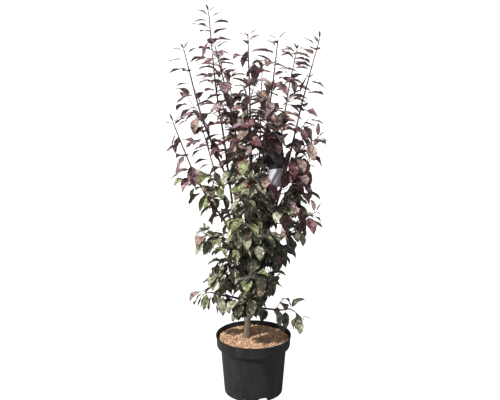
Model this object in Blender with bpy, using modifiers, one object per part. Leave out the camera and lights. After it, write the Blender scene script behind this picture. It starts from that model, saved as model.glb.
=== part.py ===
"""A young purple-leaved cherry with upright boughs, in a round nursery pot filled with mulched soil.

The plant faces -Y, stands on the floor at z = 0 and has the pot's axis on the Z axis.
"""

import math

import bmesh
import bpy
import numpy as np
from mathutils import Matrix

# Pot and soil, in metres.
POT_HEIGHT = 0.225
RIM_RADIUS = 0.140
COLLAR_FOOT_RADIUS = 0.1363
COLLAR_FOOT_Z = 0.178
BODY_TOP_RADIUS = 0.1207
BODY_TOP_Z = 0.159
BASE_RADIUS = 0.109
WALL = 0.0024
FLOOR = 0.003
TURNS = 36
NOTCHES = 3
NOTCH_ANGLE = math.radians(-70.4)
NOTCH_WIDTH = 0.040
NOTCH_HEIGHT = 0.0125
NOTCH_DEPTH = 0.030
SOIL_TOP = 0.2085
SOIL_EDGE_DROP = 0.004
SOIL_FLAT_RADIUS = 0.040

# Wood.
GAP = 0.0003
WELD = 0.000002
TRUNK_PATH = (
    (-0.0240, 0.000, SOIL_TOP + GAP),
    (-0.0235, 0.000, 0.260),
    (-0.0200, 0.002, 0.360),
    (-0.0130, 0.001, 0.500),
    (-0.0090, 0.000, 0.690),
    (-0.0100, 0.012, 0.880),
    (-0.0125, 0.026, 1.030),
)
TRUNK_RADII = (0.0150, 0.0124, 0.0112, 0.0096, 0.0078, 0.0060, 0.0040)
TRUNK_SIDES = 10
TRUNK_RINGS = 15
FLARE_LOBES = 4
FLARE_DEPTH = 0.16
BOUGH_SIDES = 5
BOUGH_RINGS = 7
BOUGH_TIP_RADIUS = 0.0036

# Foliage.
STEM_TIP_RADIUS = 0.0018
TWIG_RADIUS = 0.0019
LEAF_WIDTH = 0.25
LEAF_THICKNESS = 0.016
LEAF_FOLD = 0.05
LEAF_SUNK = 0.0003
LEAF_APART = 0.005
LEAF_ROOT = 0.006
SPIRAL = math.radians(144)
SPACE_MARGIN = 0.0012
LIMB_MARGIN = 0.0045
SAMPLE_STEP = 0.003
STEM_ROOT_RADIUS = 0.0034
STEM_RINGS = 6
TWIG_RINGS = 3
SEED = 40
OTHER_SEEDS = {"lowest_left": 142, "low_left": 140, "low_rear_left": 141}
LOW_LEAF = (0.085, 0.115, 0.045)
HIGH_LEAF = (0.120, 0.055, 0.070)

# The leader above the trunk's tip.
LEADER_TOP = ((-0.0150, 0.036, 1.140), (-0.0180, 0.044, 1.230), (-0.0200, 0.050, 1.312))

# Boughs: name, the limb left, the height it is left at, root radius, share of the way where leaves
# begin, and the places passed on the way to the tip of the shoot.
BOUGHS = (
    ("tall_left", "trunk", 0.360, 0.0070, 0.45,
     ((-0.058, 0.008, 0.580), (-0.080, 0.016, 0.745), (-0.109, 0.030, 0.980), (-0.133, 0.042, 1.130),
      (-0.157, 0.058, 1.396))),
    ("upper_left", "tall_left", 0.790, 0.0038, 0.28,
     ((-0.122, -0.010, 0.885), (-0.150, -0.026, 0.958), (-0.186, -0.042, 1.063), (-0.237, -0.058, 1.275))),
    ("outer_left", "trunk", 0.455, 0.0060, 0.42,
     ((-0.095, -0.026, 0.650), (-0.154, -0.050, 0.745), (-0.208, -0.070, 0.850), (-0.274, -0.098, 1.030))),
    ("front_left", "trunk", 0.560, 0.0055, 0.30,
     ((-0.030, -0.050, 0.740), (-0.051, -0.080, 0.920), (-0.080, -0.112, 1.085), (-0.127, -0.155, 1.290))),
    ("front", "trunk", 0.500, 0.0055, 0.34,
     ((-0.002, -0.075, 0.680), (-0.012, -0.135, 0.870), (-0.022, -0.195, 1.130))),
    ("front_right", "trunk", 0.600, 0.0055, 0.28,
     ((0.018, -0.050, 0.780), (0.042, -0.105, 1.000), (0.062, -0.160, 1.170), (0.077, -0.190, 1.312))),
    ("fan_right", "trunk", 0.530, 0.0050, 0.46,
     ((0.052, -0.040, 0.700), (0.123, -0.075, 0.855), (0.158, -0.098, 0.933), (0.218, -0.128, 0.985))),
    ("mid_right", "trunk", 0.400, 0.0048, 0.42,
     ((0.040, -0.028, 0.530), (0.114, -0.050, 0.640), (0.220, -0.070, 0.712))),
    ("outer_right", "trunk", 0.420, 0.0065, 0.42,
     ((0.052, 0.006, 0.620), (0.096, 0.014, 0.765), (0.130, 0.020, 0.901), (0.174, 0.028, 1.096),
      (0.229, 0.034, 1.305))),
    ("mid_right_rear", "trunk", 0.510, 0.0048, 0.44,
     ((0.064, 0.040, 0.650), (0.128, 0.090, 0.752), (0.208, 0.118, 0.860))),
    ("rear_right", "trunk", 0.560, 0.0055, 0.32,
     ((0.034, 0.038, 0.720), (0.092, 0.092, 0.909), (0.128, 0.140, 1.120), (0.158, 0.166, 1.260))),
    ("rear", "trunk", 0.460, 0.0058, 0.36,
     ((0.008, 0.064, 0.660), (0.022, 0.120, 0.880), (0.032, 0.180, 1.205))),
    ("rear_left", "trunk", 0.520, 0.0055, 0.36,
     ((-0.034, 0.050, 0.700), (-0.058, 0.112, 0.900), (-0.090, 0.180, 1.165))),
    ("outer_rear_left", "trunk", 0.420, 0.0052, 0.42,
     ((-0.056, 0.050, 0.570), (-0.122, 0.104, 0.750), (-0.192, 0.150, 0.985))),
)

# Masses straight on a limb: name, the limb, the height on it, then the places passed.
SPRAYS = (
    ("lowest_right", "trunk", 0.322,
     ((0.031, -0.022, 0.334), (0.093, -0.050, 0.338), (0.134, -0.064, 0.346), (0.170, -0.076, 0.322))),
    ("lowest_left", "trunk", 0.350,
     ((-0.070, -0.016, 0.374), (-0.118, -0.030, 0.388), (-0.158, -0.044, 0.404), (-0.187, -0.054, 0.396))),
    ("lowest_front", "trunk", 0.340,
     ((-0.020, -0.040, 0.366), (-0.024, -0.074, 0.384), (-0.030, -0.098, 0.370))),
    ("lowest_rear", "trunk", 0.345, ((-0.004, 0.040, 0.374), (0.006, 0.076, 0.390), (0.014, 0.100, 0.374))),
    ("low_left", "trunk", 0.440, ((-0.070, -0.028, 0.508), (-0.121, -0.046, 0.520), (-0.152, -0.058, 0.476))),
    ("low_right", "trunk", 0.375, ((0.032, 0.004, 0.418), (0.066, 0.006, 0.440), (0.090, 0.004, 0.424))),
    ("low_front", "trunk", 0.450, ((0.006, -0.048, 0.500), (0.012, -0.096, 0.520), (0.016, -0.134, 0.496))),
    ("low_rear_left", "trunk", 0.395,
     ((-0.040, 0.044, 0.432), (-0.066, 0.074, 0.456), (-0.082, 0.094, 0.440))),
    ("low_rear_right", "trunk", 0.456, ((0.026, 0.048, 0.510), (0.066, 0.090, 0.540), (0.094, 0.120, 0.522))),
    ("mid_left", "trunk", 0.530, ((-0.058, -0.052, 0.566), (-0.122, -0.066, 0.604), (-0.176, -0.070, 0.634))),
    ("centre_front", "trunk", 0.575,
     ((0.020, -0.050, 0.602), (0.030, -0.098, 0.628), (0.034, -0.138, 0.616))),
    ("middle_front", "front", 0.600,
     ((-0.024, -0.092, 0.640), (-0.044, -0.132, 0.676), (-0.056, -0.160, 0.672))),
    ("middle_right", "outer_right", 0.640,
     ((0.078, -0.030, 0.690), (0.104, -0.072, 0.726), (0.118, -0.100, 0.724))),
    ("middle_rear", "rear", 0.612, ((0.026, 0.096, 0.656), (0.058, 0.134, 0.690), (0.072, 0.156, 0.684))),
)

# What grows on a stem: the shares of it where leaves and twigs begin and twigs end, the number of twigs,
# their length, the length of a leaf, and how much the leaves hang.
UPRIGHT = (0.05, 0.06, 0.52, 4, 0.105, 0.064, 0.60)
SPREADING = (0.36, 0.36, 0.84, 4, 0.086, 0.070, 1.10)
LEAF_STEP = 0.040


def smooth(points, count):
    """Evenly spaced points on a Catmull-Rom curve that passes through all the given ones."""
    knots = np.array(points, float)
    ends = np.vstack([2 * knots[0] - knots[1], knots, 2 * knots[-1] - knots[-2]])
    share = np.linspace(0, 1, 24, endpoint=False)[:, None]
    pieces = []
    for a, b, c, d in zip(ends, ends[1:], ends[2:], ends[3:]):
        bend = (2 * a - 5 * b + 4 * c - d) * share**2 + (3 * b - a - 3 * c + d) * share**3
        pieces.append(0.5 * (2 * b + (c - a) * share + bend))
    fine = np.vstack(pieces + [knots[-1:]])
    run = np.append(0, np.cumsum(np.linalg.norm(np.diff(fine, axis=0), axis=1)))
    return np.column_stack([np.interp(np.linspace(0, run[-1], count), run, axis) for axis in fine.T])


def unit(vector):
    return vector / np.linalg.norm(vector)


def directions(path):
    steps = np.gradient(path, axis=0)
    return steps / np.linalg.norm(steps, axis=1)[:, None]


def along(path, share):
    """The place this share of the way along a path of even steps, and the direction there."""
    last = len(path) - 1
    before = min(int(share * last), last - 1)
    step = path[before + 1] - path[before]
    return path[before] + (share * last - before) * step, unit(step)


def across(direction):
    """Two unit vectors square to a direction and to each other."""
    side = unit(np.cross(direction, np.eye(3)[np.argmin(np.abs(direction))]))
    return side, np.cross(direction, side)


def mesh_object(name, points, faces, collection):
    mesh = bpy.data.meshes.new(name)
    mesh.from_pydata([tuple(p) for p in points], [], faces)
    mesh.update()
    obj = bpy.data.objects.new(name, mesh)
    collection.objects.link(obj)
    return obj


def outline(sides, collection):
    """A regular polygon of radius 1, for a curve to carry along its path."""
    name = f"outline_{sides}"
    if name not in bpy.data.objects:
        curve = bpy.data.curves.new(name, "CURVE")
        spline = curve.splines.new("POLY")
        spline.points.add(sides - 1)
        spline.use_cyclic_u = True
        for k, point in enumerate(spline.points):
            angle = 2 * math.pi * k / sides
            point.co = (math.cos(angle), math.sin(angle), 0.0, 1.0)
        obj = bpy.data.objects.new(name, curve)
        obj.hide_render = True
        obj.display_type = "WIRE"
        collection.objects.link(obj)
    return bpy.data.objects[name]


def tube(name, path, radii, sides, collection, helpers):
    """A tapering tube with flat ends: a curve that carries a polygon, made a closed mesh."""
    curve = bpy.data.curves.new(name, "CURVE")
    curve.dimensions = "3D"
    curve.bevel_mode = "OBJECT"
    curve.bevel_object = outline(sides, helpers)
    curve.use_fill_caps = True
    spline = curve.splines.new("POLY")
    spline.points.add(len(path) - 1)
    for point, place, radius in zip(spline.points, path, radii):
        point.co = (*place, 1.0)
        point.radius = radius
    drawn = bpy.data.objects.new("drawn", curve)
    collection.objects.link(drawn)
    graph = bpy.context.evaluated_depsgraph_get()
    mesh = bpy.data.meshes.new_from_object(drawn.evaluated_get(graph))
    mesh.name = name
    shape = bmesh.new()
    shape.from_mesh(mesh)
    bmesh.ops.remove_doubles(shape, verts=shape.verts, dist=WELD)
    bmesh.ops.recalc_face_normals(shape, faces=shape.faces)
    shape.to_mesh(mesh)
    shape.free()
    obj = bpy.data.objects.new(name, mesh)
    obj.matrix_world = drawn.matrix_world.copy()
    collection.objects.link(obj)
    bpy.data.objects.remove(drawn)
    return obj


def block(name, size, place, angle, collection):
    """A box of this size, centred here and turned about Z."""
    mesh = bpy.data.meshes.new(name)
    shape = bmesh.new()
    bmesh.ops.create_cube(shape, size=1.0, matrix=Matrix.Diagonal((*size, 1.0)))
    shape.to_mesh(mesh)
    shape.free()
    obj = bpy.data.objects.new(name, mesh)
    obj.location = place
    obj.rotation_euler = (0.0, 0.0, angle)
    collection.objects.link(obj)
    return obj


def boolean(obj, other, operation, solver="EXACT"):
    """Applies one Boolean with an object or a whole collection."""
    step = obj.modifiers.new(operation, "BOOLEAN")
    step.operation = operation
    step.solver = solver
    if isinstance(other, bpy.types.Collection):
        step.operand_type = "COLLECTION"
        step.collection = other
    else:
        step.object = other
    graph = bpy.context.evaluated_depsgraph_get()
    made = bpy.data.meshes.new_from_object(obj.evaluated_get(graph))
    obj.modifiers.clear()
    obj.data = made


def cut_from_limb(obj, limb_room):
    """Cuts a root back to its limb's clearance, and drops scraps left on the limb's far side."""
    boolean(obj, limb_room, "DIFFERENCE")
    shape = bmesh.new()
    shape.from_mesh(obj.data)
    left, islands = set(shape.verts), []
    while left:
        island, edge = set(), {left.pop()}
        while edge:
            island |= edge
            edge = {link.other_vert(vert) for vert in edge for link in vert.link_edges} - island
        left -= island
        islands.append(island)
    islands.sort(key=lambda island: max(vert.co.z for vert in island))
    for island in islands[:-1]:
        bmesh.ops.delete(shape, geom=list(island), context="VERTS")
    shape.to_mesh(obj.data)
    shape.free()


def remove(objects):
    for obj in list(objects):
        bpy.data.objects.remove(obj)


def painted(obj, colour, roughness):
    """Gives an object a material of its own."""
    material = bpy.data.materials.new(obj.name)
    material.use_nodes = True
    shader = material.node_tree.nodes["Principled BSDF"]
    shader.inputs["Base Color"].default_value = (*colour, 1.0)
    shader.inputs["Roughness"].default_value = roughness
    shader.inputs["Metallic"].default_value = 0.0
    obj.data.materials.clear()
    obj.data.materials.append(material)
    return obj


def spun(name, profile, collection):
    """A round solid from (radius, height) pairs that start and end on the axis."""
    points = [(radius, 0.0, height) for radius, height in profile]
    mesh = bpy.data.meshes.new(name)
    mesh.from_pydata(points, [(k, k + 1) for k in range(len(points) - 1)], [])
    obj = bpy.data.objects.new(name, mesh)
    collection.objects.link(obj)
    turn = obj.modifiers.new("turn", "SCREW")
    turn.steps = TURNS
    turn.render_steps = TURNS
    turn.use_merge_vertices = True
    turn.merge_threshold = 0.00005
    graph = bpy.context.evaluated_depsgraph_get()
    made = bpy.data.meshes.new_from_object(obj.evaluated_get(graph))
    obj.modifiers.clear()
    obj.data = made
    return obj


def notch_block(name, angle, inner, outer, spread, bottom, collection):
    """A block along one notch, larger than its width and height by the spread."""
    top = NOTCH_HEIGHT + spread
    size = (outer - inner, NOTCH_WIDTH + 2 * spread, top - bottom)
    reach = (inner + outer) / 2
    place = (reach * math.cos(angle), reach * math.sin(angle), (top + bottom) / 2)
    return block(name, size, place, angle, collection)


def add_pot_and_soil(collection, cutters):
    """The thin pot with a covered channel behind each notch, and the soil that fills it."""
    inner_collar = COLLAR_FOOT_RADIUS - WALL
    inner_body = BODY_TOP_RADIUS - WALL
    inner_rim = RIM_RADIUS - WALL
    pot = spun("pot", (
        (0.0, FLOOR),
        (BASE_RADIUS - WALL - 0.004, FLOOR),
        (BASE_RADIUS - WALL, FLOOR + 0.004),
        (inner_body, BODY_TOP_Z - 0.001),
        (inner_collar, COLLAR_FOOT_Z + 0.001),
        (inner_rim, POT_HEIGHT - 0.001),
        (inner_rim + 0.0006, POT_HEIGHT),
        (RIM_RADIUS - 0.0006, POT_HEIGHT),
        (RIM_RADIUS, POT_HEIGHT - 0.001),
        (COLLAR_FOOT_RADIUS, COLLAR_FOOT_Z),
        (COLLAR_FOOT_RADIUS - 0.003, COLLAR_FOOT_Z - 0.006),
        (BODY_TOP_RADIUS + 0.003, BODY_TOP_Z + 0.002),
        (BODY_TOP_RADIUS, BODY_TOP_Z - 0.002),
        (BASE_RADIUS + 0.0005, 0.0050),
        (BASE_RADIUS - 0.001, 0.0015),
        (BASE_RADIUS - 0.003, 0.0),
        (0.0, 0.0),
    ), collection)
    grade = (inner_rim - inner_collar) / (POT_HEIGHT - COLLAR_FOOT_Z - 0.002)
    edge_z = SOIL_TOP - SOIL_EDGE_DROP
    edge_radius = inner_collar + (edge_z - COLLAR_FOOT_Z - 0.001) * grade - GAP
    soil = spun("soil", (
        (0.0, SOIL_TOP),
        (SOIL_FLAT_RADIUS, SOIL_TOP),
        (0.100, SOIL_TOP - 0.0015),
        (edge_radius, edge_z),
        (inner_collar - GAP, COLLAR_FOOT_Z + 0.001),
        (inner_body - GAP, BODY_TOP_Z - 0.001),
        (BASE_RADIUS - WALL - GAP, FLOOR + 0.004 + GAP),
        (BASE_RADIUS - WALL - 0.004, FLOOR + GAP),
        (0.0, FLOOR + GAP),
    ), collection)
    inner = BASE_RADIUS - NOTCH_DEPTH
    outer = BASE_RADIUS + 0.01
    for k in range(NOTCHES):
        angle = NOTCH_ANGLE + k * 2 * math.pi / NOTCHES
        cover = notch_block("cover", angle, inner - WALL, BASE_RADIUS - WALL, WALL, FLOOR / 2, cutters)
        channel = notch_block("channel", angle, inner, outer, 0.0, -0.01, cutters)
        room = notch_block("room", angle, inner - WALL - GAP, outer, WALL + GAP, -0.01, cutters)
        boolean(pot, cover, "UNION")
        boolean(pot, channel, "DIFFERENCE")
        boolean(soil, room, "DIFFERENCE")
        remove((cover, channel, room))
    for obj in (pot, soil):
        obj.data.shade_smooth()
        obj.data.set_sharp_from_angle(angle=math.radians(40))
    painted(pot, (0.016, 0.017, 0.019), 0.42)
    painted(soil, (0.26, 0.135, 0.062), 0.9)


def add_flare(trunk, axis):
    """Gives the trunk's foot a few soft ribs, where the main roots begin."""
    for vertex in trunk.data.vertices:
        height = vertex.co.z - axis[2]
        x, y = vertex.co.x - axis[0], vertex.co.y - axis[1]
        swell = 1 + FLARE_DEPTH * math.exp(-height / 0.02) * math.cos(FLARE_LOBES * math.atan2(y, x) + 0.6)
        if height < 0.05:
            vertex.co.x = axis[0] + swell * x
            vertex.co.y = axis[1] + swell * y


def root_on(path, height):
    """The place on a rising path at this height."""
    return [np.interp(height, path[:, 2], axis) for axis in path.T]


def limb_rows():
    """Every limb's whole path, radius along it, and the share of it that is a bough."""
    trunk = smooth(TRUNK_PATH, TRUNK_RINGS * 4)
    heights = [place[2] for place in TRUNK_PATH]
    rows = {"trunk": (trunk, np.interp(trunk[:, 2], heights, TRUNK_RADII))}
    for name, host, height, root_radius, leafy_from, places in BOUGHS:
        whole = smooth((root_on(rows[host][0], height), *places), 120)
        share = np.linspace(0, 1, 120) / leafy_from
        radii = root_radius + (BOUGH_TIP_RADIUS - root_radius) * np.minimum(share, 1) ** 0.8
        rows[name] = (whole, radii)
    return rows


def length_of(path):
    return np.linalg.norm(np.diff(path, axis=0), axis=1).sum()


def dense(path):
    """The path again with its points SAMPLE_STEP apart."""
    return smooth(path, max(3, int(length_of(path) / SAMPLE_STEP)))


def cloud_of(path, radii):
    """Points along a limb and its radius at each."""
    cloud = dense(path)
    return cloud, np.interp(np.linspace(0, 1, len(cloud)), np.linspace(0, 1, len(path)), radii)


def nearest(points, cloud):
    """Distance from each point to the nearest of the cloud."""
    return np.sqrt(((points[:, None] - cloud[None]) ** 2).sum(axis=2)).min(axis=1)


def blade(base, heading, length, hang, roll):
    """The eight-faced leaf: base, middle of the midrib above and below, two edges and the tip."""
    down = np.array((0.0, 0.0, -1.0))
    first = unit(heading + 0.35 * hang * down)
    second = unit(heading + 1.15 * hang * down)
    side = unit(np.cross(heading, (0.0, 0.0, 1.0)))
    top = unit(np.cross(side, first))
    side = math.cos(roll) * side + math.sin(roll) * top
    top = unit(np.cross(side, first))
    middle = base + 0.46 * length * first
    tip = middle + 0.54 * length * second
    rise = LEAF_FOLD * length * top
    half = LEAF_WIDTH * length * side
    thick = 0.5 * LEAF_THICKNESS * length * top
    return np.array((base, tip, middle + half + rise, middle - half + rise, middle + thick, middle - thick))


WEIGHTS = np.array([(i, j, 4 - i - j) for i in range(5) for j in range(5 - i)]) / 4
BLADE_FACES = ((0, 2, 4), (0, 4, 3), (2, 1, 4), (4, 1, 3), (0, 5, 2), (0, 3, 5), (2, 5, 1), (5, 3, 1))


def blade_samples(corners):
    """Points spread over the leaf's four upper faces beyond its root, for testing what it comes near."""
    spots = [WEIGHTS @ corners[list(face)] for face in BLADE_FACES[:4]]
    spots = np.vstack(spots)
    return spots[np.linalg.norm(spots - corners[0], axis=1) > LEAF_ROOT]


def grown(stem, habit, seed, allowed):
    """Twigs and leaves of one mass: each leaf turns SPIRAL on from the last, twigs shorten upwards."""
    bare, first_twig, last_twig, twig_count, twig_length, leaf_length, hang = habit
    rng = np.random.default_rng(seed)
    shoots = [(stem, length_of(stem), bare)]
    turn = rng.uniform(0, 2 * math.pi)
    for k in range(twig_count):
        share = first_twig + (last_twig - first_twig) * k / (twig_count - 1)
        start, ahead = along(stem, share)
        side, other = across(ahead)
        for _ in range(3):
            turn += SPIRAL + rng.uniform(-0.3, 0.3)
            out = math.cos(turn) * side + math.sin(turn) * other
            heading = unit(0.80 * out + 0.50 * ahead + np.array((0, 0, 0.25)))
            length = twig_length * (1 - 0.45 * share) * rng.uniform(0.85, 1.15)
            bend = np.array((0, 0, 0.12 if hang < 1 else -0.25)) * length
            middle = start + 0.5 * length * heading
            path = smooth((start, middle, start + length * heading + bend), TWIG_RINGS)
            if allowed(path[1:]):
                shoots.append((path, length, 0.25))
                break
    leaves, placed = [], np.full((1, 3), -9.0)
    for path, length, start in shoots:
        count = max(2, int(length * (1 - start) / LEAF_STEP))
        angle = rng.uniform(0, 2 * math.pi)
        for share in start + (1 - start) * (np.arange(count) + 0.5) / count:
            place, ahead = along(path, share)
            side, other = across(ahead)
            young = 1 - 0.45 * max(0.0, (share - 0.7) / 0.3)
            size = leaf_length * young * rng.uniform(0.82, 1.12)
            for _ in range(4):
                angle += SPIRAL + rng.uniform(-0.25, 0.25)
                out = math.cos(angle) * side + math.sin(angle) * other
                heading = unit(out + 0.45 * ahead + np.array((0, 0, 0.15)))
                droop = hang * rng.uniform(0.7, 1.3)
                corners = blade(place - LEAF_SUNK * heading, heading, size, droop, rng.uniform(-0.35, 0.35))
                spots = blade_samples(corners)
                if nearest(spots, placed).min() > LEAF_APART and allowed(spots):
                    leaves.append(corners)
                    placed = np.vstack([placed, spots])
                    break
        place, ahead = along(path, 1.0)
        tip = blade(place - 0.002 * ahead, unit(ahead + 0.1 * out), 0.6 * leaf_length, 0.1, 0.0)
        spots = blade_samples(tip)
        if allowed(spots):
            leaves.append(tip)
            placed = np.vstack([placed, spots])
    return shoots[1:], leaves


def add_mass(name, stem, radii, twigs, leaves, limb_room, colour, collections):
    """One stem with its twigs and leaves fused on."""
    tree, cutters, pieces = collections
    mass = tube(name, stem, radii, 3, tree, cutters)
    if limb_room:
        cut_from_limb(mass, limb_room)
    for path, _, _ in twigs:
        tube("twig", path, np.linspace(TWIG_RADIUS, 0.7 * TWIG_RADIUS, TWIG_RINGS), 3, pieces, cutters)
    for corners in leaves:
        mesh_object("leaf", corners, BLADE_FACES, pieces)
    boolean(mass, pieces, "UNION", "MANIFOLD")
    remove(pieces.objects)
    painted(mass, colour, 0.45)


def main():
    for obj in list(bpy.data.objects):
        bpy.data.objects.remove(obj)
    tree = bpy.data.collections.new("potted_cherry_tree")
    cutters = bpy.data.collections.new("cutters")
    pieces = bpy.data.collections.new("pieces")
    collections = (tree, cutters, pieces)
    for collection in collections:
        bpy.context.scene.collection.children.link(collection)
    add_pot_and_soil(tree, cutters)

    rows = limb_rows()
    path, radii = rows["trunk"]
    rings = np.linspace(0, 1, TRUNK_RINGS) ** 1.4 * (len(path) - 1)
    rings = np.unique(np.round(rings).astype(int))
    trunk = tube("trunk", path[rings], radii[rings], TRUNK_SIDES, tree, cutters)
    add_flare(trunk, path[0])
    painted(trunk, (0.21, 0.13, 0.085), 0.8)
    round_off = 1 / math.cos(math.pi / TRUNK_SIDES)
    wide = radii[rings] + GAP * round_off
    clearers = {"trunk": tube("trunk_room", path[rings], wide, TRUNK_SIDES, cutters, cutters)}

    limbs = [cloud_of(path, radii)]
    start = path[-1] + GAP * directions(path)[-1]
    stems = [("leader_top", smooth((start, *LEADER_TOP), STEM_RINGS), None, UPRIGHT)]
    for name, host, _, _, leafy_from, _ in BOUGHS:
        whole, radii = rows[name]
        split = int(leafy_from * (len(whole) - 1))
        rings = np.round(np.linspace(0, split, BOUGH_RINGS)).astype(int)
        bough = tube(name + "_bough", whole[rings], radii[rings], BOUGH_SIDES, tree, cutters)
        cut_from_limb(bough, clearers[host])
        painted(bough, (0.13, 0.075, 0.07), 0.7)
        wide = radii[rings] + GAP / math.cos(math.pi / BOUGH_SIDES)
        clearers[name] = tube(name + "_room", whole[rings], wide, BOUGH_SIDES, cutters, cutters)
        limbs.append(cloud_of(whole[: split + 1], radii[: split + 1]))
        start = whole[split] + GAP * directions(whole)[split]
        stems.append((name, smooth((start, *whole[split + 4 :: 12], whole[-1]), STEM_RINGS), None, UPRIGHT))
    for name, host, height, places in SPRAYS:
        stem = smooth((root_on(rows[host][0], height), *places), STEM_RINGS)
        stems.append((name, stem, clearers[host], SPREADING))

    wood = np.vstack([cloud for cloud, _ in limbs])
    thickness = np.concatenate([radii for _, radii in limbs])
    clouds = [dense(stem) for _, stem, _, _ in stems]
    for number, (name, stem, room, habit) in enumerate(stems):
        others = np.vstack(clouds[:number] + clouds[number + 1 :])

        def allowed(points, own=clouds[number], others=others):
            apart = np.linalg.norm(points[:, None] - wood[None], axis=2) - thickness
            own_space = nearest(points, others) - nearest(points, own)
            return apart.min() > LIMB_MARGIN and own_space.min() > 2 * SPACE_MARGIN

        twigs, leaves = grown(stem, habit, OTHER_SEEDS.get(name, SEED + number), allowed)
        radii = np.linspace(STEM_ROOT_RADIUS, STEM_TIP_RADIUS, STEM_RINGS)
        high = min(1.0, max(0.0, (stem[:, 2].mean() - 0.45) / 0.45))
        colour = [low + high * (top - low) for low, top in zip(LOW_LEAF, HIGH_LEAF)]
        add_mass(name + "_foliage", stem, radii, twigs, leaves, room, colour, collections)
        print(name, len(twigs), "twigs", len(leaves), "leaves")
    for collection in (cutters, pieces):
        remove(collection.objects)
        bpy.data.collections.remove(collection)


main()
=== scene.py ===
"""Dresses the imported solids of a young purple-leaved cherry that stands in a mulched nursery pot.

Metres, +Z up. The floor is z = 0, the pot's axis is the Z axis and the plant's front faces -Y.
"""

import math

import bpy
import numpy as np
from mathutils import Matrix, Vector


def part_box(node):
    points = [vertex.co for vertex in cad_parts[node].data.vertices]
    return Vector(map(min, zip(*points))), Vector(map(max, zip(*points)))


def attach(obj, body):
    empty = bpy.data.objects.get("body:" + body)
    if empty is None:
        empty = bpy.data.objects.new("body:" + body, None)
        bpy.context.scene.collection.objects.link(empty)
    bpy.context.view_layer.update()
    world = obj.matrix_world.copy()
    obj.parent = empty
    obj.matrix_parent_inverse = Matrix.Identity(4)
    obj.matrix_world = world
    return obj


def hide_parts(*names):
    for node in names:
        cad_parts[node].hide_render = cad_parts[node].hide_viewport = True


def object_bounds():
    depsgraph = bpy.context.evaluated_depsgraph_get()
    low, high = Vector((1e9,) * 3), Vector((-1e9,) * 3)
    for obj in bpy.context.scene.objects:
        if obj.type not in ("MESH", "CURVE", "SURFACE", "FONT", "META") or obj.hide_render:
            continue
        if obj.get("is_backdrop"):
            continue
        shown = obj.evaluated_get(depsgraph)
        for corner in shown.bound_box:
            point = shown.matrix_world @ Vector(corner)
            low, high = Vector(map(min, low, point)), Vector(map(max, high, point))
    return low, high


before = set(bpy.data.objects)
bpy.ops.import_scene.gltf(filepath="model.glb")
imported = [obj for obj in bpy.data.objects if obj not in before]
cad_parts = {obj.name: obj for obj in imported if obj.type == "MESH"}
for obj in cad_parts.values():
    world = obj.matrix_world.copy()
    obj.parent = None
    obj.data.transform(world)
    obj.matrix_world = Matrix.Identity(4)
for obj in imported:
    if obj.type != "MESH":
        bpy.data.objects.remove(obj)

CAD_LOW, CAD_HIGH = (np.array(corner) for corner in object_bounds())

# The pot: one thin injection moulding in black polypropylene. Its tapered wall steps out to a deep
# collar with a small rounded rim, and three drain channels run in under the foot.
POT_LOW, POT_HIGH = (np.array(corner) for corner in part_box("pot"))
POT_HEIGHT = POT_HIGH[2]
RIM_RADIUS = (POT_HIGH[0] - POT_LOW[0]) / 2
COLLAR_FOOT_RADIUS = RIM_RADIUS - 0.0037
COLLAR_FOOT_Z = 0.1865
BODY_TOP_RADIUS = RIM_RADIUS - 0.0188
BODY_TOP_Z = 0.1665
LIP_REACH, LIP_DEPTH = 0.0014, 0.0048
FOOT_RADIUS = RIM_RADIUS - 0.031
FOOT_RING = 0.022
FOOT_RECESS = 0.0022
POT_WALL = 0.0024
POT_BED_Z = 0.0162
POT_COLUMNS = 192
DRAINS = 3
DRAIN_ANGLE = math.radians(-70.4)
DRAIN_WIDTH = 0.040
DRAIN_HEIGHT = 0.0150
DRAIN_DEPTH = 0.030
PLASTIC = (0.0140, 0.0145, 0.0148)
PLASTIC_DUST = (0.0240, 0.0240, 0.0230)
PLASTIC_SPECK = (0.40, 0.38, 0.35)
# How far from each inner corner of the outline its rounding begins, and the points of each rounding.
POT_ROUNDINGS = (0.001, 0.001, 0.004, 0.005, 0.004, 0.0005, 0.0005, 0.0012, 0.0011, 0.003, 0.004, 0.002)
ROUNDING_POINTS = 6
POT_CREASE = 50
ARCH_DROP = 0.4
CUT_BEYOND = 0.01


def around(count):
    """This many even angles round a circle, from 0."""
    return np.linspace(0, 2 * math.pi, count, endpoint=False)


def rounded(corners, reaches, steps):
    """The outline with each inner corner replaced by a curve that starts and ends its reach away.

    The curve is (1-t)^2 start + 2t(1-t) corner + t^2 end, which turns smoothly from side to side.
    """
    corners = np.array(corners, float)
    t = np.linspace(0, 1, steps)[:, None]
    turned = [corners[:1]]
    for before, corner, after, reach in zip(corners, corners[1:], corners[2:], reaches):
        start = corner + reach * (before - corner) / np.linalg.norm(before - corner)
        end = corner + reach * (after - corner) / np.linalg.norm(after - corner)
        turned.append((1 - t) ** 2 * start + 2 * t * (1 - t) * corner + t**2 * end)
    return np.vstack(turned + [corners[-1:]])


def closed_skins(rings, first, last):
    """Points and faces of many closed skins, given as (skins, rings, columns, 3) places.

    Column j of ring k joins column j + 1 and ring k + 1 by one face, and fans to the places first
    and last close each skin's two ends.
    """
    skins, count, columns, _ = rings.shape
    points = np.concatenate([rings.reshape(skins, -1, 3), first[:, None], last[:, None]], axis=1)
    here = np.arange(columns)
    beside = np.roll(here, -1)
    row = columns * np.arange(count - 1)[:, None]
    quads = np.stack([row + here, row + beside, row + columns + beside, row + columns + here], axis=-1)
    top = columns * (count - 1)
    root = np.full(columns, top + columns)
    fans = np.concatenate([
        np.stack([root, beside, here], axis=1),
        np.stack([root + 1, top + here, top + beside], axis=1),
    ])
    step = points.shape[1] * np.arange(skins)[:, None, None]
    quads, fans = ((part.reshape(-1, part.shape[-1]) + step) for part in (quads, fans))
    return points.reshape(-1, 3), [quads.reshape(-1, 4), fans.reshape(-1, 3)]


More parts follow.
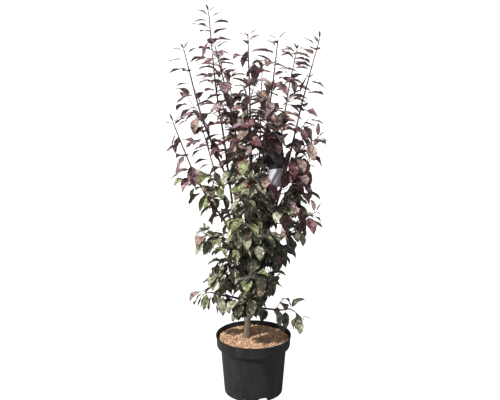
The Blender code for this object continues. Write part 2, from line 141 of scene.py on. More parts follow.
def lathed(outline, columns):
    """A closed skin from (radius, height) rows that start and end on the Z axis.

    At angle a a row stands at (radius cos a, radius sin a, height).
    """
    angle = around(columns)
    radius, height = outline[1:-1, :1], outline[1:-1, 1:]
    rings = np.stack([radius * np.cos(angle), radius * np.sin(angle), height + 0 * angle], axis=-1)
    first, last = ((0.0, 0.0, outline[end, 1]) for end in (0, -1))
    return closed_skins(rings[None], np.array([first]), np.array([last]))


def made_piece(name, points, faces, crease=None, uv=None):
    """A smooth mesh object, with edges that turn by more degrees than the crease kept sharp."""
    mesh = bpy.data.meshes.new(name)
    corners = np.concatenate([part.ravel() for part in faces])
    sizes = np.concatenate([np.full(len(part), part.shape[1]) for part in faces])
    mesh.vertices.add(len(points))
    mesh.vertices.foreach_set("co", points.astype(np.float32).ravel())
    mesh.loops.add(len(corners))
    mesh.loops.foreach_set("vertex_index", corners.astype(np.int32))
    mesh.polygons.add(len(sizes))
    mesh.polygons.foreach_set("loop_start", (np.cumsum(sizes) - sizes).astype(np.int32))
    mesh.update(calc_edges=True)
    if uv is not None:
        layer = mesh.uv_layers.new(name="surface")
        layer.data.foreach_set("uv", uv[corners].astype(np.float32).ravel())
    mesh.validate()
    mesh.shade_smooth()
    if crease:
        mesh.set_sharp_from_angle(angle=math.radians(crease))
    piece = bpy.data.objects.new(name, mesh)
    bpy.context.scene.collection.objects.link(piece)
    return piece


def give(tree, socket, value):
    """Gives a socket another node's output, or else a plain value; a colour is made opaque."""
    if isinstance(value, bpy.types.NodeSocket):
        tree.links.new(value, socket)
    else:
        socket.default_value = (*value, 1.0) if socket.type == "RGBA" else value


def fed(tree, node, **values):
    """The node with these values: an upper-case name is a socket's, in words, others are settings."""
    for title, value in values.items():
        if title[0].isupper():
            give(tree, node.inputs[title.replace("_", " ")], value)
        else:
            setattr(node, title, value)
    return node


def node_of(tree, kind, **values):
    """A new node of this kind with these values."""
    return fed(tree, tree.nodes.new(kind), **values)


def finish_of(name, colour, roughness, **values):
    """A material with these plain values, its node tree and its shader."""
    material = bpy.data.materials.new(name)
    material.use_nodes = True
    tree = material.node_tree
    shader = fed(tree, tree.nodes["Principled BSDF"], Base_Color=colour, Roughness=roughness, **values)
    return material, tree, shader


def worked_out(tree, operation, *values):
    """The output of a math node, on numbers and on other nodes' outputs."""
    node = node_of(tree, "ShaderNodeMath", operation=operation)
    for socket, value in zip(node.inputs, values):
        give(tree, socket, value)
    return node.outputs[0]


def spanned(tree, mask, low, high, **limits):
    """A number that runs from low to high as the mask runs from 0 to 1, or between limits of its own."""
    span = node_of(tree, "ShaderNodeMapRange", Value=mask, To_Min=low, To_Max=high, **limits)
    return span.outputs["Result"]


def blended(tree, factor, first, second):
    """The output of a colour mix: first where the factor is 0, second where it is 1."""
    mix = node_of(tree, "ShaderNodeMix", data_type="RGBA")
    for number, value in ((0, factor), (6, first), (7, second)):
        give(tree, mix.inputs[number], value)
    return mix.outputs[2]


def bumped(tree, *reliefs):
    """A normal with bumps one over another: (height output, distance in metres) pairs."""
    under = {}
    for height, distance in reliefs:
        bump = node_of(tree, "ShaderNodeBump", Strength=1.0, Distance=distance, Height=height, **under)
        under = {"Normal": bump.outputs["Normal"]}
    return bump.outputs["Normal"]


def effect(name, result, **start_values):
    """An empty node group on numbers: its tree, what its inputs give, and the socket of its result."""
    tree = bpy.data.node_groups.new(name, "ShaderNodeTree")
    for title, value in start_values.items():
        socket = tree.interface.new_socket(title, in_out="INPUT", socket_type="NodeSocketFloat")
        socket.default_value = value
    tree.interface.new_socket(result, in_out="OUTPUT", socket_type="NodeSocketFloat")
    given, results = tree.nodes.new("NodeGroupInput"), tree.nodes.new("NodeGroupOutput")
    return tree, given.outputs, results.inputs[result]


def placed(tree, name, **values):
    """The result of the effect of this name, placed in a tree with its own values."""
    return node_of(tree, "ShaderNodeGroup", node_tree=bpy.data.node_groups[name], **values).outputs[0]


# Fine uneven grain: noise on the piece's own coordinates, drawn out along Z by the stretch.
grain, given, grain_height = effect("grain", "Height", Scale=400.0, Stretch=1.0, Detail=3.0)
shrink = worked_out(grain, "DIVIDE", 1.0, given["Stretch"])
axes = node_of(grain, "ShaderNodeCombineXYZ", X=1.0, Y=1.0, Z=shrink)
where = node_of(grain, "ShaderNodeTexCoord").outputs["Object"]
drawn_out = node_of(grain, "ShaderNodeMapping", Vector=where, Scale=axes.outputs[0])
noise = node_of(grain, "ShaderNodeTexNoise", Vector=drawn_out.outputs[0], Scale=given["Scale"],
                Detail=given["Detail"], Roughness=0.55)
grain.links.new(noise.outputs["Fac"], grain_height)

# Patches: the same noise cut to a mask between two levels, for dust, stains and lichen.
patches, given, patch_mask = effect("patches", "Mask", Scale=20.0, Stretch=1.0, Low=0.5, High=0.7)
source = placed(patches, "grain", Scale=given["Scale"], Stretch=given["Stretch"], Detail=6.0)
cut = spanned(patches, source, 0.0, 1.0, From_Min=given["Low"], From_Max=given["High"],
              interpolation_type="SMOOTHSTEP")
patches.links.new(cut, patch_mask)

pot_outline = rounded((
    (0.0, FOOT_RECESS),
    (FOOT_RADIUS - FOOT_RING - 0.003, FOOT_RECESS),
    (FOOT_RADIUS - FOOT_RING, 0.0),
    (FOOT_RADIUS - 0.0005, 0.0),
    (BODY_TOP_RADIUS, BODY_TOP_Z),
    (COLLAR_FOOT_RADIUS, COLLAR_FOOT_Z - 0.003),
    (RIM_RADIUS - LIP_REACH, POT_HEIGHT - LIP_DEPTH - 0.0012),
    (RIM_RADIUS, POT_HEIGHT - LIP_DEPTH),
    (RIM_RADIUS, POT_HEIGHT),
    (RIM_RADIUS - POT_WALL - 0.0006, POT_HEIGHT),
    (COLLAR_FOOT_RADIUS - POT_WALL, COLLAR_FOOT_Z + 0.001),
    (BODY_TOP_RADIUS - POT_WALL, BODY_TOP_Z - 0.001),
    (FOOT_RADIUS - POT_WALL, POT_BED_Z),
    (0.0, POT_BED_Z),
), POT_ROUNDINGS, ROUNDING_POINTS)
pot = made_piece("nursery_pot", *lathed(pot_outline, POT_COLUMNS))

# A drain channel is flat below and arched above, with its height as 1 - ARCH_DROP |share|^6 across it.
share = np.linspace(-1, 1, 13)
arch = np.column_stack([0.5 * DRAIN_WIDTH * share, DRAIN_HEIGHT * (1 - ARCH_DROP * np.abs(share) ** 6)])
section = np.vstack([arch[::-1], [(-0.5 * DRAIN_WIDTH, -CUT_BEYOND), (0.5 * DRAIN_WIDTH, -CUT_BEYOND)]])
ends = (FOOT_RADIUS - DRAIN_DEPTH, FOOT_RADIUS + CUT_BEYOND)
channel = np.stack([np.column_stack([np.full(len(section), x), section]) for x in ends])
for k in range(DRAINS):
    angle = DRAIN_ANGLE + k * 2 * math.pi / DRAINS
    cosine, sine = math.cos(angle), math.sin(angle)
    rings = channel @ np.array(((cosine, -sine, 0), (sine, cosine, 0), (0, 0, 1))).T
    middles = rings.mean(axis=1)
    cutter = made_piece("drain_cutter", *closed_skins(rings[None], middles[:1], middles[1:]))
    centre = Vector(middles.mean(axis=0))
    if sum(face.normal.dot(face.center - centre) for face in cutter.data.polygons) < 0:
        cutter.data.flip_normals()
    drain = pot.modifiers.new("drain", "BOOLEAN")
    drain.operation = "DIFFERENCE"
    drain.solver = "EXACT"
    drain.object = cutter
    cut_mesh = bpy.data.meshes.new_from_object(pot.evaluated_get(bpy.context.evaluated_depsgraph_get()))
    pot.modifiers.clear()
    pot.data = cut_mesh
    bpy.data.objects.remove(cutter)
pot.data.shade_smooth()
pot.data.set_sharp_from_angle(angle=math.radians(POT_CREASE))

plastic, tree, shader = finish_of("black_polypropylene", PLASTIC, 0.4, Specular_IOR_Level=0.20)
dust = placed(tree, "patches", Scale=22.0, Stretch=2.2, Low=0.34, High=0.74)
specks = placed(tree, "patches", Scale=170.0, Low=0.700, High=0.725)
pores = placed(tree, "grain", Scale=1400.0, Detail=2.0)
ripple = placed(tree, "grain", Scale=38.0, Stretch=6.0, Detail=1.0)
fed(tree, shader,
    Base_Color=blended(tree, specks, blended(tree, dust, PLASTIC, PLASTIC_DUST), PLASTIC_SPECK),
    Roughness=spanned(tree, dust, 0.34, 0.62),
    Normal=bumped(tree, (pores, 0.00012), (ripple, 0.0006)))
pot.data.materials.clear()
pot.data.materials.append(plastic)
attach(pot, "root")
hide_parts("pot")

# The mulch: small chips and shreds of conifer bark laid loose on the compost, a little below the rim
# and drawn up to the stem. The compost under them is a dark crumbly bed.
SOIL_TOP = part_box("soil")[1][2]
SOIL_DROP = 0.004
MULCH_DEPTH = 0.003
MOUND_HEIGHT, MOUND_REACH = 0.0022, 0.030
LUMP_HEIGHT = 0.0008
BED_SUNK = 0.0024
BED_CLEAR = 0.0004
BED_EYE = 0.002
BED_ROWS, BED_COLUMNS = 60, 160
BED_CREASE = 50
CRUMB_HEIGHT = 0.0009
STEM_FOOT = np.array((-0.0240, 0.0))
FOOT_CLEAR = 0.020
CHIPS, CHIP_SEED = 9000, 11
CHIP_LENGTHS = (0.004, 0.012)
CHIP_BREADTHS = (0.30, 0.70)
CHIP_SHREDS, SHRED_LONGER = 0.25, 1.5
SHRED_WIDTHS = (0.0008, 0.0018)
CHIP_THICKNESSES = (0.0008, 0.0020)
CHIP_WARP, CHIP_BOW = 0.16, 0.10
CHIP_TIPPED, CHIP_ROLLED = 0.24, 0.40
CHIP_LIFTS = (-0.0022, 0.0016)
CHIP_CREASE = 35
CHIPS_WITHIN, CHIP_CLEAR = 0.007, 0.0008
CHIP_TONES = {
    "chips_orange": ((0.450, 0.250, 0.135), 0.30),
    "chips_tan": ((0.540, 0.370, 0.235), 0.28),
    "chips_rust": ((0.300, 0.155, 0.085), 0.22),
    "chips_straw": ((0.660, 0.520, 0.370), 0.12),
    "chips_umber": ((0.130, 0.075, 0.048), 0.08),
}
COMPOST = (0.150, 0.082, 0.046)
COMPOST_CLOD = (0.300, 0.165, 0.090)


def mulch_height(x, y):
    """Height of the mulch: a shallow dome drawn up to the stem, with low lumps a few centimetres wide."""
    out = np.hypot(x, y) / (RIM_RADIUS - POT_WALL)
    to_stem = np.hypot(x - STEM_FOOT[0], y - STEM_FOOT[1])
    mound = MOUND_HEIGHT * np.exp(-((to_stem / MOUND_REACH) ** 2))
    lumps = np.sin(61 * x + 1.3) * np.sin(53 * y + 0.4) + 0.6 * np.sin(127 * x - 88 * y + 2.0)
    return SOIL_TOP + MULCH_DEPTH - SOIL_DROP * out**2 + mound + LUMP_HEIGHT * lumps


def wall_radius(z):
    """Inner radius of the pot's collar at this height."""
    rise = (z - COLLAR_FOOT_Z) / (POT_HEIGHT - COLLAR_FOOT_Z)
    return COLLAR_FOOT_RADIUS - POT_WALL + rise * (RIM_RADIUS - COLLAR_FOOT_RADIUS)


bed_radii = np.concatenate([
    np.linspace(BED_EYE, wall_radius(SOIL_TOP - SOIL_DROP) - BED_CLEAR, BED_ROWS),
    [wall_radius(COLLAR_FOOT_Z + 0.001) - BED_CLEAR, BODY_TOP_RADIUS - POT_WALL - BED_CLEAR],
    [FOOT_RADIUS - POT_WALL - BED_CLEAR, BED_EYE],
])[:, None]
turn = around(BED_COLUMNS)
bed_x, bed_y = bed_radii * np.cos(turn), bed_radii * np.sin(turn)
crumbs = CRUMB_HEIGHT * np.sin(410 * bed_x + 2 * np.sin(300 * bed_y)) * np.sin(390 * bed_y + 1.7)
bed_z = mulch_height(bed_x, bed_y) - BED_SUNK + crumbs
bed_foot = POT_BED_Z + BED_CLEAR
bed_z[-4:] = np.array((COLLAR_FOOT_Z + 0.001, BODY_TOP_Z - 0.001, bed_foot, bed_foot))[:, None]
bed_rings = np.stack([bed_x, bed_y, bed_z], axis=-1)[::-1]
bed_ends = bed_rings.mean(axis=1)
bed_skin = closed_skins(bed_rings[None], bed_ends[:1], bed_ends[-1:])
bed = made_piece("compost_bed", *bed_skin, crease=BED_CREASE)
compost, tree, shader = finish_of("compost", COMPOST, 0.95)
clods = placed(tree, "patches", Scale=160.0, Low=0.42, High=0.66)
soil_grain = placed(tree, "grain", Scale=520.0, Detail=5.0)
fed(tree, shader,
    Base_Color=blended(tree, clods, COMPOST, COMPOST_CLOD), Normal=bumped(tree, (soil_grain, 0.0022)))
bed.data.materials.append(compost)
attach(bed, "root")
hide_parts("soil")


def chip_rings(count, rng):
    """(chips, 3 rings, 5 columns, 3) places of flat splinters, each about its own middle.

    A ring is a flattened pentagon; its half width is width (1 - |t|^3)^0.5 with t from -1 to 1 along
    the chip, and every corner is then moved a little at random.
    """
    length = rng.uniform(*CHIP_LENGTHS, count)
    shred = rng.random(count) < CHIP_SHREDS
    length = np.where(shred, SHRED_LONGER * length, length)
    width = np.where(shred, rng.uniform(*SHRED_WIDTHS, count), length * rng.uniform(*CHIP_BREADTHS, count))
    thick = np.minimum(0.6 * width, rng.uniform(*CHIP_THICKNESSES, count))
    t = np.linspace(-0.90, 0.90, 3)[:, None]
    angle = around(5)
    taper = (1 - np.abs(t) ** 3) ** 0.5
    x = 0.5 * length[:, None, None] * (t + 0 * angle)
    y = 0.5 * width[:, None, None] * (taper * np.cos(angle))
    z = 0.5 * thick[:, None, None] * (taper * np.sin(angle))
    rings = np.stack([x, y, z], axis=-1)
    moved = rng.uniform(-CHIP_WARP, CHIP_WARP, rings.shape)
    rings += moved * np.stack([width, width, thick], axis=-1)[:, None, None]
    bow = rng.uniform(-CHIP_BOW, CHIP_BOW, count)[:, None, None]
    rings[..., 2] += bow * (1 - t**2) * length[:, None, None]
    return rings


def turns_of(yaw, pitch, roll):
    """(many, 3, 3) matrices: a roll about X, then a pitch about Y, then a yaw about Z."""
    (cy, sy), (cp, sp), (cr, sr) = ((np.cos(a), np.sin(a)) for a in (yaw, pitch, roll))
    return np.array((
        (cy * cp, cy * sp * sr - sy * cr, cy * sp * cr + sy * sr),
        (sy * cp, sy * sp * sr + cy * cr, sy * sp * cr - cy * sr),
        (-sp, cp * sr, cp * cr),
    )).transpose(2, 0, 1)


rng = np.random.default_rng(CHIP_SEED)
rings = chip_rings(CHIPS, rng)
out = (wall_radius(SOIL_TOP) - CHIPS_WITHIN) * np.sqrt(rng.random(CHIPS))
turn = rng.uniform(0, 2 * math.pi, CHIPS)
chip_x, chip_y = out * np.cos(turn), out * np.sin(turn)
stem_gap = np.hypot(chip_x - STEM_FOOT[0], chip_y - STEM_FOOT[1])
push = np.maximum(1.0, FOOT_CLEAR / np.maximum(stem_gap, 1e-4))
chip_x = STEM_FOOT[0] + (chip_x - STEM_FOOT[0]) * push
chip_y = STEM_FOOT[1] + (chip_y - STEM_FOOT[1]) * push
lying = turns_of(rng.uniform(0, 2 * math.pi, CHIPS), rng.normal(0, CHIP_TIPPED, CHIPS),
                 rng.normal(0, CHIP_ROLLED, CHIPS))
rings = np.einsum("nrci,nji->nrcj", rings, lying)
lift = rng.uniform(*CHIP_LIFTS, CHIPS)
rings += np.stack([chip_x, chip_y, mulch_height(chip_x, chip_y) + lift], axis=-1)[:, None, None]
reach = np.linalg.norm(rings[..., :2], axis=-1).max(axis=(1, 2))
inside = reach < wall_radius(SOIL_TOP - SOIL_DROP) - CHIP_CLEAR
tone_of = rng.choice(len(CHIP_TONES), CHIPS, p=[share for _, share in CHIP_TONES.values()])
for number, (name, (colour, _)) in enumerate(CHIP_TONES.items()):
    mine = rings[inside & (tone_of == number)]
    points, faces = closed_skins(mine, mine[:, 0].mean(axis=1), mine[:, -1].mean(axis=1))
    chips = made_piece(name, points, faces, crease=CHIP_CREASE)
    bark_chip, tree, shader = finish_of(name, colour, 0.85)
    fibres = placed(tree, "grain", Scale=900.0, Detail=4.0)
    fed(tree, shader, Roughness=spanned(tree, fibres, 0.7, 0.98), Normal=bumped(tree, (fibres, 0.0005)))
    chips.data.materials.append(bark_chip)
    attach(chips, "root")
    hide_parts("soil")

# The trunk: one young stem that flares into its roots at the mulch and thins as it passes through the
# crown. Its bark is tan and matt at the foot, with corky bands and raised breathing pores.
ROOT_GAP = 0.0003
TRUNK_PATH = (
    (-0.0240, 0.000, SOIL_TOP + ROOT_GAP),
    (-0.0235, 0.000, 0.260),
    (-0.0200, 0.002, 0.360),
    (-0.0130, 0.001, 0.500),
    (-0.0090, 0.000, 0.690),
    (-0.0100, 0.012, 0.880),
    (-0.0125, 0.026, 1.030),
)
TRUNK_RADII = (0.0150, 0.0124, 0.0112, 0.0096, 0.0078, 0.0060, 0.0040)
TRUNK_HEIGHTS = [place[2] for place in TRUNK_PATH]
TRUNK_POINTS = 60
TRUNK_RINGS, TRUNK_COLUMNS = 300, 72
TRUNK_SUNK = 0.010
FLARE_LOBES, FLARE_TURN = 4, 0.6
FLARE_DEPTH, FLARE_REACH = 0.16, 0.02
FLUTE_DEPTHS, BAND_DEPTH, PORE_DEPTH = (0.040, 0.018), 0.030, 0.045
LIMB_CREASE = 60
TRUNK_BARK = (0.165, 0.122, 0.088)
TRUNK_DARK = (0.058, 0.045, 0.035)
TRUNK_PALE = (0.330, 0.285, 0.230)


def run_along(path):
    """Distance along a path to each of its points."""
    return np.append(0, np.cumsum(np.linalg.norm(np.diff(path, axis=0), axis=1)))


def smooth(points, count):
    """Evenly spaced points on a Catmull-Rom curve that passes through all the given ones."""
    knots = np.array(points, float)
    ends = np.vstack([2 * knots[0] - knots[1], knots, 2 * knots[-1] - knots[-2]])
    share = np.linspace(0, 1, 24, endpoint=False)[:, None]
    pieces = []
    for a, b, c, d in zip(ends, ends[1:], ends[2:], ends[3:]):
        bend = (2 * a - 5 * b + 4 * c - d) * share**2 + (3 * b - a - 3 * c + d) * share**3
        pieces.append(0.5 * (2 * b + (c - a) * share + bend))
    fine = np.vstack(pieces + [knots[-1:]])
    run = run_along(fine)
    return np.column_stack([np.interp(np.linspace(0, run[-1], count), run, axis) for axis in fine.T])


def unit(vectors):
    """Each vector divided by its length."""
    return vectors / np.linalg.norm(vectors, axis=-1, keepdims=True)


def limb_skins(paths, radii, columns):
    """Closed skins of round limbs carried along their (limbs, rings, 3) paths.

    At angle a a ring stands at path + radius (cos a side + sin a other), where side is square to the
    path and to the axis that the limb as a whole runs least along.
    """
    ahead = unit(np.gradient(paths, axis=1))
    least = np.eye(3)[np.argmin(np.abs(ahead.mean(axis=1)), axis=1)][:, None]
    side = unit(np.cross(ahead, least))
    other = np.cross(ahead, side)
    angle = around(columns)[:, None]
    spokes = np.cos(angle) * side[:, :, None] + np.sin(angle) * other[:, :, None]
    rings = paths[:, :, None] + np.broadcast_to(radii, spokes.shape[:3])[..., None] * spokes
    return closed_skins(rings, paths[:, 0], paths[:, -1])


def bark_relief(run, angle):
    """How far the bark stands out, as a share of the radius, at this run along the limb and angle.

    Two winding flutes, a band round the limb every few centimetres, and short raised pores where a
    wave along the limb and one round it both peak.
    """
    broad, fine = FLUTE_DEPTHS
    flutes = broad * np.sin(3 * angle + 11 * run) + fine * np.sin(5 * angle - 17 * run + 1)
    bands = BAND_DEPTH * np.maximum(0, np.sin(150 * run + 0.9 * np.sin(angle))) ** 10
    across = np.maximum(0, np.sin(610 * run + 2.6 * np.sin(2 * angle))) ** 5
    pores = PORE_DEPTH * across * np.maximum(0, np.sin(4 * angle + 43 * run)) ** 3
    return flutes + bands + pores


trunk_line = smooth(TRUNK_PATH, TRUNK_POINTS)
trunk_path = np.vstack([trunk_line[0] - (0, 0, TRUNK_SUNK), smooth(TRUNK_PATH, TRUNK_RINGS)])
angle = around(TRUNK_COLUMNS)
height = np.maximum(trunk_path[:, 2:] - SOIL_TOP, 0)
flare = FLARE_DEPTH * np.exp(-height / FLARE_REACH) * np.cos(FLARE_LOBES * angle + FLARE_TURN)
trunk_radii = np.interp(trunk_path[:, 2], TRUNK_HEIGHTS, TRUNK_RADII)[:, None]
trunk_radii = trunk_radii * (1 + flare + bark_relief(run_along(trunk_path)[:, None], angle))
trunk_skin = limb_skins(trunk_path[None], trunk_radii[None], TRUNK_COLUMNS)
trunk = made_piece("trunk_bark", *trunk_skin, crease=LIMB_CREASE)
trunk_finish, tree, shader = finish_of("trunk_bark", TRUNK_BARK, 0.8)
plates = placed(tree, "patches", Scale=120.0, Stretch=3.0, Low=0.44, High=0.62)
lichen = placed(tree, "patches", Scale=75.0, Stretch=0.5, Low=0.60, High=0.68)
cork = placed(tree, "grain", Scale=420.0, Stretch=0.4, Detail=5.0)
fed(tree, shader,
    Base_Color=blended(tree, lichen, blended(tree, plates, TRUNK_BARK, TRUNK_DARK), TRUNK_PALE),
    Roughness=spanned(tree, cork, 0.6, 0.95), Normal=bumped(tree, (cork, 0.0016)))
trunk.data.materials.append(trunk_finish)
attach(trunk, "root")
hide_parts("trunk")

# The boughs: fourteen slim limbs that leave the trunk low and rise steeply, each one tapering limb
# with a swollen collar where it is rooted, in thin purple-brown bark.
BOUGH_TIP_RADIUS, BOUGH_TAPER = 0.0036, 0.8
BOUGH_POINTS = 120
BOUGH_RINGS, BOUGH_COLUMNS = 170, 20
COLLAR_SWELL, COLLAR_REACH = 0.55, 0.013
BOUGH_BARK = (0.078, 0.043, 0.041)
BOUGH_DARK = (0.026, 0.014, 0.016)
BOUGH_BLOOM = (0.16, 0.125, 0.115)
# Each bough: the limb it grows on and how high, its radius there, the share of its way at which its
# bark ends in a leafy shoot, and the places that it passes.
BOUGHS = (
    ("tall_left", "trunk", 0.360, 0.0070, 0.45,
     ((-0.058, 0.008, 0.580), (-0.080, 0.016, 0.745), (-0.109, 0.030, 0.980), (-0.133, 0.042, 1.130),
      (-0.157, 0.058, 1.396))),
    ("upper_left", "tall_left", 0.790, 0.0038, 0.28,
     ((-0.122, -0.010, 0.885), (-0.150, -0.026, 0.958), (-0.186, -0.042, 1.063), (-0.237, -0.058, 1.275))),
    ("outer_left", "trunk", 0.455, 0.0060, 0.42,
     ((-0.095, -0.026, 0.650), (-0.154, -0.050, 0.745), (-0.208, -0.070, 0.850), (-0.274, -0.098, 1.030))),
    ("front_left", "trunk", 0.560, 0.0055, 0.30,
     ((-0.030, -0.050, 0.740), (-0.051, -0.080, 0.920), (-0.080, -0.112, 1.085), (-0.127, -0.155, 1.290))),
    ("front", "trunk", 0.500, 0.0055, 0.34,
     ((-0.002, -0.075, 0.680), (-0.012, -0.135, 0.870), (-0.022, -0.195, 1.130))),
    ("front_right", "trunk", 0.600, 0.0055, 0.28,
     ((0.018, -0.050, 0.780), (0.042, -0.105, 1.000), (0.062, -0.160, 1.170), (0.077, -0.190, 1.312))),
    ("fan_right", "trunk", 0.530, 0.0050, 0.46,
     ((0.052, -0.040, 0.700), (0.123, -0.075, 0.855), (0.158, -0.098, 0.933), (0.218, -0.128, 0.985))),
    ("mid_right", "trunk", 0.400, 0.0048, 0.42,
     ((0.040, -0.028, 0.530), (0.114, -0.050, 0.640), (0.220, -0.070, 0.712))),
    ("outer_right", "trunk", 0.420, 0.0065, 0.42,
     ((0.052, 0.006, 0.620), (0.096, 0.014, 0.765), (0.130, 0.020, 0.901), (0.174, 0.028, 1.096),
      (0.229, 0.034, 1.305))),
    ("mid_right_rear", "trunk", 0.510, 0.0048, 0.44,
     ((0.064, 0.040, 0.650), (0.128, 0.090, 0.752), (0.208, 0.118, 0.860))),
    ("rear_right", "trunk", 0.560, 0.0055, 0.32,
     ((0.034, 0.038, 0.720), (0.092, 0.092, 0.909), (0.128, 0.140, 1.120), (0.158, 0.166, 1.260))),
    ("rear", "trunk", 0.460, 0.0058, 0.36,
     ((0.008, 0.064, 0.660), (0.022, 0.120, 0.880), (0.032, 0.180, 1.205))),
    ("rear_left", "trunk", 0.520, 0.0055, 0.36,
     ((-0.034, 0.050, 0.700), (-0.058, 0.112, 0.900), (-0.090, 0.180, 1.165))),
    ("outer_rear_left", "trunk", 0.420, 0.0052, 0.42,
     ((-0.056, 0.050, 0.570), (-0.122, 0.104, 0.750), (-0.192, 0.150, 0.985))),
)


def root_on(path, height):
    """The place on a rising path at this height."""
    return [np.interp(height, path[:, 2], axis) for axis in path.T]


def split_of(limb):
    """The number of the point at which a limb's bark ends and its leafy shoot begins."""
    whole, _, leafy_from = limb
    return int(leafy_from * (len(whole) - 1))


bough_finish, tree, shader = finish_of("bough_bark", BOUGH_BARK, 0.6)
streaks = placed(tree, "patches", Scale=150.0, Stretch=4.0, Low=0.40, High=0.62)
bloom = placed(tree, "patches", Scale=60.0, Stretch=1.5, Low=0.58, High=0.72)
skin = placed(tree, "grain", Scale=700.0, Stretch=0.5, Detail=4.0)
fed(tree, shader,
    Base_Color=blended(tree, bloom, blended(tree, streaks, BOUGH_BARK, BOUGH_DARK), BOUGH_BLOOM),
    Roughness=spanned(tree, skin, 0.42, 0.75), Normal=bumped(tree, (skin, 0.0007)))

limbs = {"trunk": (trunk_line, np.interp(trunk_line[:, 2], TRUNK_HEIGHTS, TRUNK_RADII), 1.0)}
for name, host, height, root_radius, leafy_from, places in BOUGHS:
    whole = smooth((root_on(limbs[host][0], height), *places), BOUGH_POINTS)
    thins = BOUGH_TIP_RADIUS - root_radius
    share = np.minimum(np.linspace(0, 1, BOUGH_POINTS) / leafy_from, 1)
    limbs[name] = (whole, root_radius + thins * share**BOUGH_TAPER, leafy_from)
    path = smooth(whole[: split_of(limbs[name]) + 1], BOUGH_RINGS)
    run = run_along(path)[:, None]
    taper = root_radius + thins * np.linspace(0, 1, BOUGH_RINGS)[:, None] ** BOUGH_TAPER
    swell = COLLAR_SWELL * np.exp(-run / COLLAR_REACH)
    radii = taper * (1 + swell + bark_relief(run, around(BOUGH_COLUMNS)))
    bough_skin = limb_skins(path[None], radii[None], BOUGH_COLUMNS)
    bough = made_piece(name + "_bough_bark", *bough_skin, crease=LIMB_CREASE)
    bough.data.materials.append(bough_finish)
    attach(bough, "root")
    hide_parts(name + "_bough")

# The plant label: a slightly bowed card of thin plastic sheet, plain dark above and pale at its foot. It
# hangs in the crown right of the middle by a thin tie looped round the front right shoot.
LABEL_MIDDLE = np.array((0.0750, -0.026, 0.8900))
LABEL_SIZE = (0.067, 0.196)
LABEL_TURNS = tuple(math.radians(turned) for turned in (-12, -9.5, -8))
LABEL_BOW, LABEL_SQUARENESS = 0.003, 40
LABEL_HALF_THICK = 0.0003
LABEL_PALE = 0.33
LABEL_ROWS, LABEL_COLUMNS = 60, 24
LABEL_CREASE = 40
LABEL_KEEP_OFF = 0.003
SUN_WAY, SUN_FROM, SUN_REACH = np.array((-0.51, -0.47, 0.72)), 0.012, 0.09
TIE_RADIUS, TIE_SLACK, TIE_SAG, TIE_APART = 0.0008, 0.006, 0.004, 0.002
TIE_HOLE, TIE_HEIGHT = 0.94, 1.030
TIE_POINTS, TIE_COLUMNS = 60, 8
LABEL_DARK = (0.0180, 0.0165, 0.0190)
LABEL_SCUFF = (0.016, 0.017, 0.019)
LABEL_LIGHT = (0.560, 0.545, 0.610)
LABEL_SHADE = tuple(0.86 * c for c in LABEL_LIGHT)
label_turn = turns_of(*(np.array([turned]) for turned in LABEL_TURNS))[0]


def label_places(across_share, up_share, out):
    """Places on the card: x across, z up, and bowed to the front by LABEL_BOW (1 - across^2)."""
    flat = np.stack([0.5 * LABEL_SIZE[0] * across_share,
                     out - LABEL_BOW * (1 - across_share**2) + 0 * up_share,
                     0.5 * LABEL_SIZE[1] * up_share], axis=-1)
    return LABEL_MIDDLE + flat @ label_turn.T


up_share = -np.cos(np.linspace(0.02, math.pi - 0.02, LABEL_ROWS))[:, None]
across_share = np.linspace(-1, 1, LABEL_COLUMNS) * (1 - np.abs(up_share) ** LABEL_SQUARENESS) ** 0.5
front, back = (label_places(across_share, up_share + 0 * across_share, out)
               for out in (-LABEL_HALF_THICK, LABEL_HALF_THICK))
label_rings = np.concatenate([front, back[:, ::-1]], axis=1)
label_ends = label_rings.mean(axis=1)
label_skin = closed_skins(label_rings[None], label_ends[:1], label_ends[-1:])
label = made_piece("plant_label", *label_skin, crease=LABEL_CREASE)
card_finish, tree, shader = finish_of("label_card", LABEL_DARK, 0.45, Specular_IOR_Level=0.25)
fibre = placed(tree, "grain", Scale=260.0, Detail=2.0)
scuffs = placed(tree, "patches", Scale=60.0, Low=0.56, High=0.80)
fed(tree, shader,
    Base_Color=blended(tree, scuffs, LABEL_DARK, LABEL_SCUFF), Normal=bumped(tree, (fibre, 0.00015)))
foot_finish, tree, shader = finish_of("label_card_foot", LABEL_LIGHT, 0.5)
fibre = placed(tree, "grain", Scale=260.0, Detail=2.0)
fed(tree, shader,
    Base_Color=blended(tree, fibre, LABEL_LIGHT, LABEL_SHADE), Normal=bumped(tree, (fibre, 0.00015)))
label.data.materials.append(card_finish)
label.data.materials.append(foot_finish)
height_of = np.array([face.center for face in label.data.polygons]) - LABEL_MIDDLE
foot_of = height_of @ label_turn[:, 2] < (LABEL_PALE - 0.5) * LABEL_SIZE[1]
label.data.polygons.foreach_set("material_index", foot_of.astype(np.int32))

# The leaves keep off the card, and off the way of the sun to its pale foot.
label_cloud = label_places(*np.meshgrid(np.linspace(-1, 1, 9), np.linspace(-1, 1, 27)), 0.0)
foot_cloud = label_places(*np.meshgrid(np.linspace(-1, 1, 7), np.linspace(-1, 2 * LABEL_PALE - 1, 7)), 0.0)
sunbeam = foot_cloud.reshape(-1, 1, 3) + np.linspace(SUN_FROM, SUN_REACH, 11)[:, None] * SUN_WAY
label_cloud = np.vstack([label_cloud.reshape(-1, 3), sunbeam.reshape(-1, 3)])

